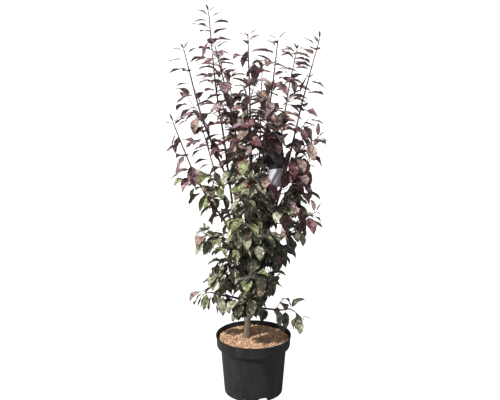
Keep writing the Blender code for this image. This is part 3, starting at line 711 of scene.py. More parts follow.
tie_top = label_places(np.zeros(1), np.array([TIE_HOLE]), 0.0)[0]
tie_round = np.array(root_on(limbs["front_right"][0], TIE_HEIGHT))
tie_path = smooth((
    tie_top,
    tie_round + (TIE_SLACK, 0.5 * TIE_SLACK, -TIE_SAG),
    tie_round + (0, -TIE_SLACK, 0.5 * TIE_SAG),
    tie_round + (-TIE_SLACK, 0.5 * TIE_SLACK, -TIE_SAG),
    tie_top - (TIE_APART, 0, 0),
), TIE_POINTS)
tie = made_piece("label_tie", *limb_skins(tie_path[None], TIE_RADIUS, TIE_COLUMNS))
tie.data.materials.append(card_finish)
for piece in (label, tie):
    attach(piece, "root")

# The shoots and twigs: this year's wood. A leafy shoot grows on from every bough's tip and from the
# trunk, twigs leave it in a 2/5 spiral, and shorter spurs fill in between them. Thin reddish bark.
LEADER_TOP = ((-0.0150, 0.036, 1.140), (-0.0180, 0.044, 1.230), (-0.0200, 0.050, 1.312))
# Each spray low down or inside the crown: the limb it grows on and how high, and the places it passes.
SPRAYS = (
    ("lowest_right", "trunk", 0.322,
     ((0.031, -0.022, 0.334), (0.093, -0.050, 0.338), (0.134, -0.064, 0.346), (0.170, -0.076, 0.322))),
    ("lowest_left", "trunk", 0.350,
     ((-0.070, -0.016, 0.374), (-0.118, -0.030, 0.388), (-0.158, -0.044, 0.404), (-0.187, -0.054, 0.396))),
    ("lowest_front", "trunk", 0.340,
     ((-0.020, -0.040, 0.366), (-0.024, -0.074, 0.384), (-0.030, -0.098, 0.370))),
    ("lowest_rear", "trunk", 0.345, ((-0.004, 0.040, 0.374), (0.006, 0.076, 0.390), (0.014, 0.100, 0.374))),
    ("low_left", "trunk", 0.440, ((-0.070, -0.028, 0.508), (-0.121, -0.046, 0.520), (-0.152, -0.058, 0.476))),
    ("low_right", "trunk", 0.375, ((0.032, 0.004, 0.418), (0.066, 0.006, 0.440), (0.090, 0.004, 0.424))),
    ("low_front", "trunk", 0.450, ((0.006, -0.048, 0.500), (0.012, -0.096, 0.520), (0.016, -0.134, 0.496))),
    ("low_rear_left", "trunk", 0.395,
     ((-0.040, 0.044, 0.432), (-0.066, 0.074, 0.456), (-0.082, 0.094, 0.440))),
    ("low_rear_right", "trunk", 0.456, ((0.026, 0.048, 0.510), (0.066, 0.090, 0.540), (0.094, 0.120, 0.522))),
    ("mid_left", "trunk", 0.530, ((-0.058, -0.052, 0.566), (-0.122, -0.066, 0.604), (-0.176, -0.070, 0.634))),
    ("centre_front", "trunk", 0.575,
     ((0.020, -0.050, 0.602), (0.030, -0.098, 0.628), (0.034, -0.138, 0.616))),
    ("middle_front", "front", 0.600,
     ((-0.024, -0.092, 0.640), (-0.044, -0.132, 0.676), (-0.056, -0.160, 0.672))),
    ("middle_right", "outer_right", 0.640,
     ((0.078, -0.030, 0.690), (0.104, -0.072, 0.726), (0.118, -0.100, 0.724))),
    ("middle_rear", "rear", 0.612, ((0.026, 0.096, 0.656), (0.058, 0.134, 0.690), (0.072, 0.156, 0.684))),
)
SHOOT_RINGS, SHOOT_COLUMNS = 90, 10
SHOOT_ROOT_RADII, SHOOT_TIP_RADIUS = (0.0038, 0.0050), 0.0017
SHOOT_TAPER = 1.2
SHOOT_SKIPS, SHOOT_EVERY = 4, 12
TWIG_RINGS, TWIG_COLUMNS = 12, 6
TWIG_ROOT_RADIUS, TWIG_TIP_RADIUS = 0.0018, 0.0009
SPIRAL = math.radians(144)
TWIG_TRIES = 3
TURN_UNEVEN, TWIGS_UNEVEN = 0.3, (0.85, 1.15)
TWIG_OUT, TWIG_AHEAD, TWIG_UP = 0.80, 0.50, 0.25
TWIG_SHORTER = 0.45
SIDE_AT, SIDE_LENGTH, SIDE_SHORTER = 0.45, 0.5, 0.2
SPUR_FALL = -0.15
SPACE_MARGIN = 0.0012
BOX_MARGIN = 0.002
LIMB_MARGIN = 0.0045
SAMPLE_STEP = 0.003
SEED = 40
# What grows on a stem: the share where leaves begin, the shares where twigs begin and end, the number
# of twigs, their length, the number and length of the spurs between them, and how far all these fall.
UPRIGHT = (0.05, 0.06, 0.52, 4, 0.105, 3, 0.050, 0.12)
SPREADING = (0.16, 0.36, 0.84, 4, 0.086, 2, 0.045, -0.25)
# Spurs straight on the wood: how far along a limb they begin, how far apart they are, and their length.
# Round the trunk's foot they also have an end.
TRUNK_SPURS = (0.078, 0.016, 0.070)
FOOT_SPURS = (0.095, 0.240, 0.008, 0.030)
BOUGH_SPURS = (0.035, 0.033, 0.052)
SPURS_WITHIN = 0.076
# How open each part of the crown stands, where it isn't full: the share of its twigs and spurs that it
# keeps, and how much further apart its leaves are. Above the last height only the shoots go on.
OPEN_PARTS = {
    "leader_top": (0.45, 1.15), "tall_left": (0.45, 0.95), "upper_left": (0.25, 1.25),
    "outer_left": (0.25, 1.30), "outer_rear_left": (0.25, 1.40), "front_left": (0.90, 0.95),
    "fan_right": (0.75, 1.10), "outer_right": (0.50, 1.18), "front": (0.80, 1.05),
    "rear": (0.60, 1.00), "rear_right": (0.60, 0.95), "rear_left": (0.75, 1.10),
    "mid_right": (0.40, 1.20), "lowest_left": (0.30, 1.45), "lowest_right": (0.30, 1.40),
    "low_left": (0.60, 1.35), "low_right": (1.00, 0.70), "low_rear_right": (1.00, 0.46),
    "mid_left": (1.00, 0.62), "lowest_front": (1.00, 0.60), "lowest_rear": (1.00, 0.80),
}
WHOLLY_FULL = (1.0, 1.0)
TWIGS_BELOW = 1.20
OTHER_SEEDS = {
    "low_rear_right": 205, "low_right": 215, "lowest_left": 142, "low_left": 140, "low_rear_left": 141,
}
SHOOT_BARK = (0.125, 0.066, 0.072)
SHOOT_DARK = (0.052, 0.032, 0.038)


def length_of(path):
    """The length of a path."""
    return run_along(path)[-1]


def along(path, share):
    """The place this share of the way along a path of even steps, and the direction there."""
    last = len(path) - 1
    before = min(int(share * last), last - 1)
    step = path[before + 1] - path[before]
    return path[before] + (share * last - before) * step, unit(step)


def across(direction):
    """Two unit vectors square to a direction and to each other."""
    side = unit(np.cross(direction, np.eye(3)[np.argmin(np.abs(direction))]))
    return side, np.cross(direction, side)


def dense(path):
    """The path again with its points SAMPLE_STEP apart."""
    return smooth(path, max(3, int(length_of(path) / SAMPLE_STEP)))


def nearest(points, cloud):
    """Distance from each point to the nearest of the cloud."""
    return np.sqrt(((points[:, None] - cloud[None]) ** 2).sum(axis=2)).min(axis=1)


def twig_path(start, heading, length, fall):
    """A twig's path: straight along its heading at first, then bent by the fall times its length."""
    bend = np.array((0, 0, fall)) * length
    return smooth((start, start + 0.5 * length * heading, start + length * heading + bend), TWIG_RINGS)


def twigs_on(stem, share_list, length, shorten, turn, rng, fall, allowed):
    """Twigs at these shares of a stem, each SPIRAL on from the last and shorter towards the tip.

    A twig heads TWIG_OUT out + TWIG_AHEAD ahead + TWIG_UP up; one that would leave the mass's space or
    touch a limb is tried again further round, and is then left out.
    """
    found = []
    for share in share_list:
        start, ahead = along(stem, share)
        side, other = across(ahead)
        for _ in range(TWIG_TRIES):
            turn += SPIRAL + rng.uniform(-TURN_UNEVEN, TURN_UNEVEN)
            out = math.cos(turn) * side + math.sin(turn) * other
            heading = unit(TWIG_OUT * out + TWIG_AHEAD * ahead + np.array((0, 0, TWIG_UP)))
            reach = length * (1 - shorten * share) * rng.uniform(*TWIGS_UNEVEN)
            path = twig_path(start, heading, reach, fall)
            if allowed(path[3:]):
                found.append(path)
                break
    return found, turn


# What twigs and leaves keep clear of is kept as a cloud of places with how thick the wood is there: every
# limb as far as its bark goes, and the label. Every stem has a cloud of its own.
stems, wood, thickness = [], [], []
for name, (whole, radii, _) in limbs.items():
    split = split_of(limbs[name])
    if name == "trunk":
        stems.append(("leader_top", smooth((whole[-1], *LEADER_TOP), SHOOT_RINGS), UPRIGHT))
    else:
        passed = whole[split], *whole[split + SHOOT_SKIPS :: SHOOT_EVERY], whole[-1]
        stems.append((name, smooth(passed, SHOOT_RINGS), UPRIGHT))
    wood.append(dense(whole[: split + 1]))
    bare_run = np.linspace(0, split, len(wood[-1]))
    thickness.append(np.interp(bare_run, np.arange(split + 1), radii[: split + 1]))
for name, host, height, places in SPRAYS:
    stems.append((name, smooth((root_on(limbs[host][0], height), *places), SHOOT_RINGS), SPREADING))
wood = np.vstack([*wood, label_cloud])
thickness = np.concatenate([*thickness, np.full(len(label_cloud), LABEL_KEEP_OFF)])
clouds = [dense(stem) for _, stem, _ in stems]


def clear_of_wood(points):
    """Whether points are clear of every limb and of the label, and inside the solids' box."""
    if (points < CAD_LOW + BOX_MARGIN).any() or (points > CAD_HIGH - BOX_MARGIN).any():
        return False
    return (np.linalg.norm(points[:, None] - wood[None], axis=2) - thickness).min() > LIMB_MARGIN


def space_test(number):
    """A test that points are clear of the wood, and nearer this stem than any other."""
    own = clouds[number]
    others = np.vstack(clouds[:number] + clouds[number + 1 :])

    def allowed(points):
        """Whether points are in this stem's own space."""
        if not clear_of_wood(points):
            return False
        return (nearest(points, others) - nearest(points, own)).min() > 2 * SPACE_MARGIN

    return allowed


masses = []
for number, (name, stem, habit) in enumerate(stems):
    bare, first_twig, last_twig, twig_count, twig_length, spur_count, spur_length, fall = habit
    allowed = space_test(number)
    rng = np.random.default_rng(OTHER_SEEDS.get(name, SEED + number))
    turn = rng.uniform(0, 2 * math.pi)
    main_shares = np.linspace(first_twig, last_twig, twig_count)
    twigs, turn = twigs_on(stem, main_shares, twig_length, TWIG_SHORTER, turn, rng, fall, allowed)
    between = (last_twig - first_twig) / (twig_count - 1)
    spur_shares = np.linspace(first_twig + 0.5 * between, last_twig + 0.4 * between, spur_count)
    spurs, turn = twigs_on(stem, spur_shares, spur_length, TWIG_SHORTER, turn, rng, fall, allowed)
    # The twigs kept are spread evenly over the mass: those at which the running count goes up by one.
    kept, _ = OPEN_PARTS.get(name, WHOLLY_FULL)
    twigs, spurs = (
        [path for k, path in enumerate(rows)
         if int((k + 1) * kept + 0.5) > int(k * kept + 0.5) and path[-1][2] < TWIGS_BELOW]
        for rows in (twigs, spurs))
    side_twigs = []
    for path in twigs:
        reach = SIDE_LENGTH * length_of(path)
        sides, turn = twigs_on(path, (SIDE_AT,), reach, SIDE_SHORTER, turn, rng, fall, allowed)
        side_twigs += sides
    masses.append((name, stem, bare, allowed, rng, twigs, spurs + side_twigs))

limb_spurs = []
rng = np.random.default_rng(SEED + len(stems))
for name, (path, _, leafy_from) in limbs.items():
    begin, apart, length = TRUNK_SPURS if name == "trunk" else BOUGH_SPURS
    shares = np.arange(begin, leafy_from * length_of(path), apart) / length_of(path)
    shares = [share for share in shares if abs(along(path, share)[0][0] - TRUNK_PATH[3][0]) < SPURS_WITHIN]
    turn = rng.uniform(0, 2 * math.pi)
    limb_spurs += twigs_on(path, shares, length, SIDE_SHORTER, turn, rng, SPUR_FALL, clear_of_wood)[0]
first, last, apart, length = FOOT_SPURS
shares = np.arange(first, last, apart) / length_of(trunk_line)
limb_spurs += twigs_on(trunk_line, shares, length, SIDE_SHORTER, 0.0, rng, SPUR_FALL, clear_of_wood)[0]

shoot_finish, tree, shader = finish_of("shoot_bark", SHOOT_BARK, 0.5)
sunned = placed(tree, "patches", Scale=45.0, Stretch=2.5, Low=0.40, High=0.60)
skin = placed(tree, "grain", Scale=900.0, Stretch=2.0, Detail=2.0)
fed(tree, shader, Base_Color=blended(tree, sunned, SHOOT_BARK, SHOOT_DARK),
    Roughness=spanned(tree, skin, 0.35, 0.6), Normal=bumped(tree, (skin, 0.0003)))
# The upper crown is what grows on from the trunk and the boughs, but for the low bough on the right.
upper_masses = {"leader_top", *limbs} - {"trunk", "mid_right"}
shoot_share = np.linspace(0, 1, SHOOT_RINGS) ** SHOOT_TAPER
twig_radii = np.linspace(TWIG_ROOT_RADIUS, TWIG_TIP_RADIUS, TWIG_RINGS)[None, :, None]
for crown, shoot_root_radius in zip(("upper", "lower"), SHOOT_ROOT_RADII):
    chosen = [mass for mass in masses if (mass[0] in upper_masses) == (crown == "upper")]
    nodes = [name + "_foliage" for name, *_ in chosen]
    shoot_paths = np.stack([stem for _, stem, *_ in chosen])
    shoot_radii = (shoot_root_radius + (SHOOT_TIP_RADIUS - shoot_root_radius) * shoot_share)[None, :, None]
    twig_paths = [path for *_, twigs, spurs in chosen for path in twigs + spurs]
    twig_paths = np.stack(twig_paths if crown == "upper" else twig_paths + limb_spurs)
    shoots = made_piece(crown + "_shoots", *limb_skins(shoot_paths, shoot_radii, SHOOT_COLUMNS), LIMB_CREASE)
    twigs = made_piece(crown + "_twigs", *limb_skins(twig_paths, twig_radii, TWIG_COLUMNS), LIMB_CREASE)
    for piece in (shoots, twigs):
        piece.data.materials.append(shoot_finish)
        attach(piece, "root")
        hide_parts(*nodes)

# The leaves: thin, finely toothed and arched, on short stalks in a 2/5 spiral. They are dark plum and
# bronze in the sunlit crown and on young tips, and green where they are older and shaded. Their colours
# also paint light: near-black greens are painted shade, pale greens painted sunlight and the mauves a
# painted sky sheen.
LEAF_GAPS = (0.0095, 0.020)
GAP_REACH = 0.25
SIDE_GAP = 0.025
GAP_UNEVEN = (0.85, 1.15)
# How a leaf grows at each of four heights in the crown: its length in metres, how far it hangs, how
# often it is limp, how far it rolls, climbs, folds and ripples, and how broadside to the front it is.
LEVELS = (0.30, 0.62, 0.92, 1.20)
LEAF_HABITS = {
    "length": (0.074, 0.080, 0.078, 0.076),
    "hang": (1.3, 1.1, 0.85, 0.55),
    "limp": (0.90, 0.70, 0.30, 0.06),
    "roll": (0.60, 0.50, 0.40, 0.26),
    "climb": (-0.10, 0.05, 0.20, 0.22),
    "fold": (0.55, 0.50, 0.44, 0.42),
    "wave": (0.34, 0.30, 0.24, 0.18),
    "broadside": (0.75, 0.65, 0.50, 0.38),
}
LIMP_SAGS, LIMP_ROLL = (1.2, 3.2), 1.1
LEAF_STALK = 0.15
LEAF_WIDTHS = (0.10, 0.255)
YOUNG_REACH, YOUNG_LENGTH, YOUNG_HANG = 0.045, 0.68, 0.6
LENGTHS_UNEVEN, WIDTHS_UNEVEN, HANGS_UNEVEN = (0.80, 1.12), (0.7, 1.0), (0.55, 1.4)
LEAF_TURN_UNEVEN, LEAF_SWAY = 0.25, 0.5
BARE_END = 0.004
# The leaves at a growing tip, and at any other: how far each leans out, and its share of the length.
GROWING_TIP, OTHER_TIP = ((0.9, 0.62), (1.2, 0.54), (1.7, 0.48)), ((0.3, 0.85),)
TIP_WIDTH, TIP_SHAPE = 0.075, (0.5, 0.1, 0.0)
LEAF_CREASE = 70
BRONZE_REACH, BRONZE_HEIGHT, BRONZE_ASIDE = 0.035, 0.85, 0.15
SPRAY_SHARE = 0.6
# The crown is narrow at its foot: no leaf is lower than the floor, or further from the trunk than the
# waist at its height, but for the two lowest sprays that stand out of it.
LEAF_FLOOR, FLOOR_RISE = 0.285, 0.236
SPRAY_FLOOR = 0.243
WAIST_HEIGHTS = (0.26, 0.36, 0.42, 0.50, 0.60)
WAIST_LEFT = (0.100, 0.118, 0.135, 0.165, 0.215)
WAIST_RIGHT = (0.062, 0.084, 0.122, 0.170, 0.215)
WAIST_DEPTH = 0.4
STANDING_OUT = ("lowest_left", "lowest_right")
SPRAY_BEGINS = 0.100
INNER_SPREAD = 0.45
# A leaf that doesn't fit is tried again further round, and low down smaller each time.
LOW_HEIGHT, LOW_SIZES, HIGH_SIZES = 0.50, (1.0, 0.88, 0.76, 0.64), (1.0, 1.0, 1.0, 1.0)
LEAF_STATIONS = np.array((0.0, 0.08, 0.15, 0.20, 0.27, 0.34, 0.42, 0.50, 0.58, 0.66, 0.74, 0.82, 0.90, 0.96))
LEAF_HALF_THICK = 0.00028
STALK_HALF_THICK = 0.0006
LEAF_APART = 0.0028
TOOTH = 0.055
BLADE_PEAK, BLADE_FROM = 0.2802, 0.05
STALK_HALF_WIDTH = 0.0007
SAG_REACH = 0.08
RIPPLE_RATES = (10.5, -8.3)
HANG_AT_ONCE, HANG_ALONG = 0.15, 1.2
# Each colour: the upper side of a leaf, and the lower.
LEAF_KINDS = {
    "dark_plum": ((0.084, 0.027, 0.032), (0.215, 0.104, 0.102)),
    # Painted sheen: the two mauves are purple leaves paled by a painted sky sheen, the paler one the most.
    "mauve": ((0.166, 0.093, 0.106), (0.318, 0.206, 0.202)),
    "pale_mauve": ((0.238, 0.170, 0.188), (0.390, 0.298, 0.300)),
    "wine_red": ((0.100, 0.022, 0.026), (0.180, 0.080, 0.076)),
    "bronze_young": ((0.190, 0.105, 0.104), (0.350, 0.245, 0.235)),
    "rose_beige": ((0.208, 0.138, 0.110), (0.365, 0.265, 0.225)),
    "brown_olive": ((0.125, 0.100, 0.052), (0.310, 0.235, 0.175)),
    "mid_green": ((0.162, 0.180, 0.076), (0.290, 0.298, 0.195)),
    "grey_green": ((0.178, 0.174, 0.114), (0.292, 0.280, 0.215)),
    # Painted light: a pale green for sunlit leaves in front and on the sun's side.
    "pale_green": ((0.300, 0.300, 0.200), (0.360, 0.348, 0.262)),
    # Painted shade: a near-black green for the leaves where the crown's own shade falls.
    "dark_green": ((0.038, 0.038, 0.020), (0.155, 0.155, 0.102)),
}
# The share of each colour in the parts of the crown.
# The top is mostly mauves, purple with a painted sky sheen.
TOP_MIX = {"mauve": 0.38, "pale_mauve": 0.36, "dark_plum": 0.08, "wine_red": 0.12, "rose_beige": 0.06}
UPPER_MIX = {"dark_plum": 0.26, "mauve": 0.28, "pale_mauve": 0.10, "wine_red": 0.18, "rose_beige": 0.18}
MIDDLE_MIX = {"dark_plum": 0.16, "mauve": 0.14, "wine_red": 0.15, "rose_beige": 0.20,
              "brown_olive": 0.13, "mid_green": 0.10, "grey_green": 0.12}
# Painted light: mostly pale green for the sunlit leaves in front at half height.
SUNLIT_FRONT_MIX = {"pale_green": 0.60, "mid_green": 0.20, "grey_green": 0.10, "brown_olive": 0.04,
             "rose_beige": 0.06}
# Painted light: paler greens for the sunlit left side low down, with a few painted-shade dark ones.
SUNLIT_LOWER_MIX = {"mid_green": 0.36, "pale_green": 0.24, "grey_green": 0.26, "dark_green": 0.06,
             "brown_olive": 0.08}
# Painted shade: mostly near-black green right of the sun's side and round the trunk's foot.
PAINTED_SHADE_MIX = {"dark_green": 0.76, "grey_green": 0.18, "brown_olive": 0.06}
SPRAY_KINDS = {"lowest_left": "rose_beige", "lowest_right": "grey_green", "front_right": "rose_beige"}
ROSE_REACH = 0.050
# Where those parts are: the middle mix lies between two shares of plum, the top begins at a height, the
# painted sunlight of the front is a band before a plane, and the painted shade lies right of an edge
# that shifts with height, and below a height.
PLUM_FROM, PLUM_SPAN, PLUM_OUT, PLUM_RIGHT = 0.78, 0.24, 4.0, 3.4
PLUM_ASIDE, PLUM_DEPTH, PLUM_UNEVEN = 0.07, 0.35, 0.25
MIDDLE_BAND = (0.3, 0.8)
TOP_FROM, TOP_UNEVEN = 1.06, 0.08
FRONT_BEFORE, FRONT_BAND = -0.03, (0.63, 0.88)
SHADE_HEIGHTS, SHADE_EDGE, SHADE_BELOW, SHADE_UNEVEN = (0.38, 0.44), (-0.06, 0.01), 0.70, 0.02


def leaf_rings(base, heading, size, width, hang, sag, sway, roll, fold, wave, phase, stations):
    """(leaves, stations, 4, 3) places: right edge, midrib above, left edge, midrib below.

    The midrib sets out along the heading. It turns down at once by sag, in the stalk, and steadily by
    hang, and aside by sway; its places are the running sum of those directions. The half width of the
    blade is proportional to b^0.80 (1-b)^1.05 for b from 0 at the stalk's end to 1 at the tip, with
    small teeth. The edges stand above the midrib by fold times the half width, and ripple by wave,
    each edge in its own time. The blade rolls about the midrib, more and more towards the tip.
    """
    size, width, hang, sag, sway, roll, fold, wave, phase = (
        v[:, None] for v in (size, width, hang, sag, sway, roll, fold, wave, phase))
    flat = unit(heading * (1, 1, 0) + 1e-9)
    side = np.cross((0.0, 0.0, 1.0), flat)[:, None]
    down = np.array((0.0, 0.0, -1.0))
    fall = hang * (HANG_AT_ONCE + HANG_ALONG * stations) + sag * (1 - np.exp(-stations / SAG_REACH))
    ahead = unit(heading[:, None] + fall[..., None] * down + (sway * stations)[..., None] * side)
    steps = np.diff(stations)[:, None] * 0.5 * (ahead[:, 1:] + ahead[:, :-1])
    middle = np.concatenate([np.zeros_like(ahead[:, :1]), np.cumsum(steps, axis=1)], axis=1)
    middle = base[:, None] + size[..., None] * middle
    right = unit(side - (side * ahead).sum(axis=2, keepdims=True) * ahead)
    up = np.cross(ahead, right)
    tilt = (roll * (0.4 + 0.6 * stations))[..., None]
    right, up = np.cos(tilt) * right + np.sin(tilt) * up, np.cos(tilt) * up - np.sin(tilt) * right
    blade = np.clip((stations - LEAF_STALK) / (1 - LEAF_STALK), 0, 1)
    shape = blade**0.80 * (1 - blade) ** 1.05 / BLADE_PEAK
    teeth = 1 + TOOTH * np.where(np.arange(len(stations)) % 2, 1, -1) * (blade > BLADE_FROM)
    half = size * width * shape * teeth + STALK_HALF_WIDTH * (1 - 0.7 * stations)
    thick = np.where(blade > BLADE_FROM, LEAF_HALF_THICK, STALK_HALF_THICK)[:, None]
    thick = thick * np.ones_like(half)[..., None]
    ripples = [wave * half * np.sin(rate * blade + phase) for rate in RIPPLE_RATES]
    lift = fold * half * np.minimum(1, 3 * blade)
    return np.stack([
        middle + half[..., None] * right + (lift + ripples[0])[..., None] * up,
        middle + thick * up,
        middle - half[..., None] * right + (lift + ripples[1])[..., None] * up,
        middle - thick * up,
    ], axis=2)


SPOT_STATIONS = np.array((0.15, 0.35, 0.50, 0.70, 0.90, 1.0))


def leaf_spots(row):
    """Places spread over one leaf beyond its root, for testing what it comes near."""
    rings = leaf_rings(*(np.atleast_2d(v) if np.ndim(v) else np.array([v]) for v in row), SPOT_STATIONS)
    return rings[0][:, :3].reshape(-1, 3)[3:]


def drawn(mix, rng):
    """One colour's name from a mix."""
    return list(mix)[rng.choice(len(mix), p=list(mix.values()))]


def level_kind(place, rng):
    """A colour for a place: green low down and within, and plum above and out to the sides.

    Between them the colours are mixed. The green is painted darker, as shade, on the side away from the
    sun and round the foot of the trunk, and painted paler, as sunlight, in front at half height and on
    the sunlit side low down; the plum is pale again at the top, a painted sky sheen.
    """
    x, y, z = place
    out = np.hypot(x - TRUNK_PATH[3][0], PLUM_DEPTH * y)
    plum = (z - PLUM_FROM) / PLUM_SPAN + PLUM_OUT * (out - PLUM_ASIDE) + PLUM_RIGHT * max(0.0, x)
    plum += rng.uniform(-PLUM_UNEVEN, PLUM_UNEVEN)
    edge = np.interp(z, SHADE_HEIGHTS, SHADE_EDGE)
    shaded = x + rng.uniform(-SHADE_UNEVEN, SHADE_UNEVEN) > edge and z < SHADE_BELOW
    front = y < FRONT_BEFORE and FRONT_BAND[0] < z < FRONT_BAND[1]
    low = PAINTED_SHADE_MIX if shaded else SUNLIT_FRONT_MIX if front else SUNLIT_LOWER_MIX
    high = TOP_MIX if z + rng.uniform(-TOP_UNEVEN, TOP_UNEVEN) > TOP_FROM else UPPER_MIX
    return drawn(low if plum < MIDDLE_BAND[0] else MIDDLE_MIX if plum < MIDDLE_BAND[1] else high, rng)


def is_young(place, from_tip, growing):
    """Whether a leaf here is still in its first bronze: at a growing tip that stands in the sun."""
    return growing and from_tip < BRONZE_REACH and (place[2] > BRONZE_HEIGHT or abs(place[0]) > BRONZE_ASIDE)


def leaf_kind(place, from_tip, growing, spray_kind, rng):
    """A leaf's colour: its spray's own or now and then another of its level, and bronze at a growing tip."""
    if is_young(place, from_tip, growing) and rng.random() < SPRAY_SHARE:
        return "bronze_young"
    own = rng.random() < SPRAY_SHARE and (spray_kind != "rose_beige" or from_tip < ROSE_REACH)
    return spray_kind if own else level_kind(place, rng)


def in_waist(spots):
    """Whether these places are above the crown's floor and inside its waist."""
    x, y, z = spots.T
    beside = x - TRUNK_PATH[2][0]
    left, right = (np.interp(z, WAIST_HEIGHTS, reaches) for reaches in (WAIST_LEFT, WAIST_RIGHT))
    waist = np.where(z < WAIST_HEIGHTS[-1], np.where(beside < 0, left, right), 1.0)
    return (z + FLOOR_RISE * y).min() > LEAF_FLOOR and (np.hypot(beside, WAIST_DEPTH * y) < waist).all()


leaves = []


def dress(path, bare, growing, allowed, taken, mass, rng):
    """Adds the leaves of one shoot and returns the places taken up.

    Each leaf turns SPIRAL on from the last and leans a little to the left or right, into the light.
    The gap between two and their length grow with the distance from a growing tip, which ends in
    three narrow leaves; any other tip ends in one.
    """
    long = length_of(path)
    spread = OPEN_PARTS.get(mass, WHOLLY_FULL)[1]
    spray_kind = SPRAY_KINDS.get(mass, level_kind(path[len(path) // 2], rng))
    angle = rng.uniform(0, 2 * math.pi)
    run = bare * long + BARE_END
    while run < long - BARE_END:
        place, ahead = along(path, run / long)
        side, other = across(ahead)
        from_tip = long - run
        young = min(1.0, from_tip / YOUNG_REACH) if growing else 1.0
        length, hang, limpness, roll, climb, fold, wave, broadside = (
            np.interp(place[2], LEVELS, values) for values in LEAF_HABITS.values())
        size = length * (YOUNG_LENGTH + (1 - YOUNG_LENGTH) * young) * rng.uniform(*LENGTHS_UNEVEN)
        width = LEAF_WIDTHS[0] + (LEAF_WIDTHS[1] - LEAF_WIDTHS[0]) * young * rng.uniform(*WIDTHS_UNEVEN)
        hang = hang * (YOUNG_HANG + (1 - YOUNG_HANG) * young) * rng.uniform(*HANGS_UNEVEN)
        limp = from_tip > YOUNG_REACH / 2 and rng.random() < limpness
        sag, roll = (rng.uniform(*LIMP_SAGS), LIMP_ROLL) if limp else (0.0, roll)
        inner = mass in STANDING_OUT and abs(place[0] - TRUNK_PATH[2][0]) < SPRAY_BEGINS
        for smaller in LOW_SIZES if place[2] < LOW_HEIGHT else HIGH_SIZES:
            angle += SPIRAL + rng.uniform(-LEAF_TURN_UNEVEN, LEAF_TURN_UNEVEN)
            out = unit((math.cos(angle) * side + math.sin(angle) * other) * (1, broadside, 1))
            heading = unit(out + (0.30 + 0.5 * (1 - young)) * ahead + np.array((0, 0, climb)))
            row = (place - 0.0004 * heading, heading, size * smaller, width, hang, sag,
                   rng.uniform(-LEAF_SWAY, LEAF_SWAY), rng.uniform(-roll, roll),
                   rng.uniform(0.4 * fold, fold), rng.uniform(0.05, wave), rng.uniform(0, 2 * math.pi))
            spots = leaf_spots(row)
            outer = mass in STANDING_OUT and not inner
            shaped = spots[:, 2].min() > SPRAY_FLOOR if outer else in_waist(spots)
            if shaped and nearest(spots, taken).min() > LEAF_APART and allowed(spots):
                leaves.append((*row, leaf_kind(place, from_tip, growing, spray_kind, rng), mass))
                taken = np.vstack([taken, spots])
                break
        step = np.interp(from_tip, (0, GAP_REACH), LEAF_GAPS) if growing else SIDE_GAP
        run += step * (INNER_SPREAD if inner else spread) * rng.uniform(*GAP_UNEVEN)
    place, ahead = along(path, 1.0)
    side, other = across(ahead)
    width, hang = (TIP_WIDTH, 0.4) if growing else (LEAF_WIDTHS[1], 1.0)
    for lean, share in GROWING_TIP if growing else OTHER_TIP:
        angle += SPIRAL
        out = math.cos(angle) * side + math.sin(angle) * other
        size = share * np.interp(place[2], LEVELS, LEAF_HABITS["length"])
        heading = unit(ahead + lean * out)
        row = (place - 0.001 * ahead, heading, size, width, hang, 0.0, 0.0, 0.0, *TIP_SHAPE)
        spots = leaf_spots(row)
        if allowed(spots) and (mass in STANDING_OUT or in_waist(spots)):
            leaves.append((*row, "bronze_young" if is_young(place, 0.0, growing) else spray_kind, mass))
    return taken


# The share of a twig or spur that bears no leaves, and a list of places taken that is far from any.
TWIG_BARE, SPUR_BARE, LIMB_SPUR_BARE = 0.18, 0.25, 0.35
NONE_TAKEN = np.full((1, 3), -9.0)
for name, stem, bare, allowed, rng, twigs, spurs in masses:
    taken = dress(stem, bare, True, allowed, NONE_TAKEN, name, rng)
    for share, paths in ((TWIG_BARE, twigs), (SPUR_BARE, spurs)):
        for path in paths:
            taken = dress(path, share, False, allowed, taken, name, rng)
rng = np.random.default_rng(SEED + len(stems) + 1)
taken = NONE_TAKEN
for path in limb_spurs:
    taken = dress(path, LIMB_SPUR_BARE, False, clear_of_wood, taken, "", rng)

# Side veins: ridges that leave the midrib and sweep forward, a wave in v - 0.7 |u| along the blade, with
# the midrib's own furrow between them, which fades as 0.002^|u| towards the edges.
veins, given, vein_height = effect("veins", "Height", Pairs=8.0, Furrow=1.0)
leaf_map = node_of(veins, "ShaderNodeUVMap", uv_map="surface").outputs["UV"]
parts = node_of(veins, "ShaderNodeSeparateXYZ", Vector=leaf_map).outputs
aside = worked_out(veins, "ABSOLUTE", worked_out(veins, "SUBTRACT", parts["X"], 0.5))
forward = worked_out(veins, "SUBTRACT", parts["Y"], worked_out(veins, "MULTIPLY", aside, 0.7))
ridges = worked_out(veins, "PINGPONG", worked_out(veins, "MULTIPLY", forward, given["Pairs"]), 1.0)
furrow = worked_out(veins, "MULTIPLY", worked_out(veins, "POWER", 0.002, aside), given["Furrow"])
veins.links.new(worked_out(veins, "SUBTRACT", ridges, furrow), vein_height)

# The leaf's own colour times the first number plus the second: in its painted shade, its painted sheen and
# its veins.
LEAF_SHADE, LEAF_LIGHT, LEAF_VEIN = (0.34, 0.0), (1.65, 0.006), (1.9, 0.034)


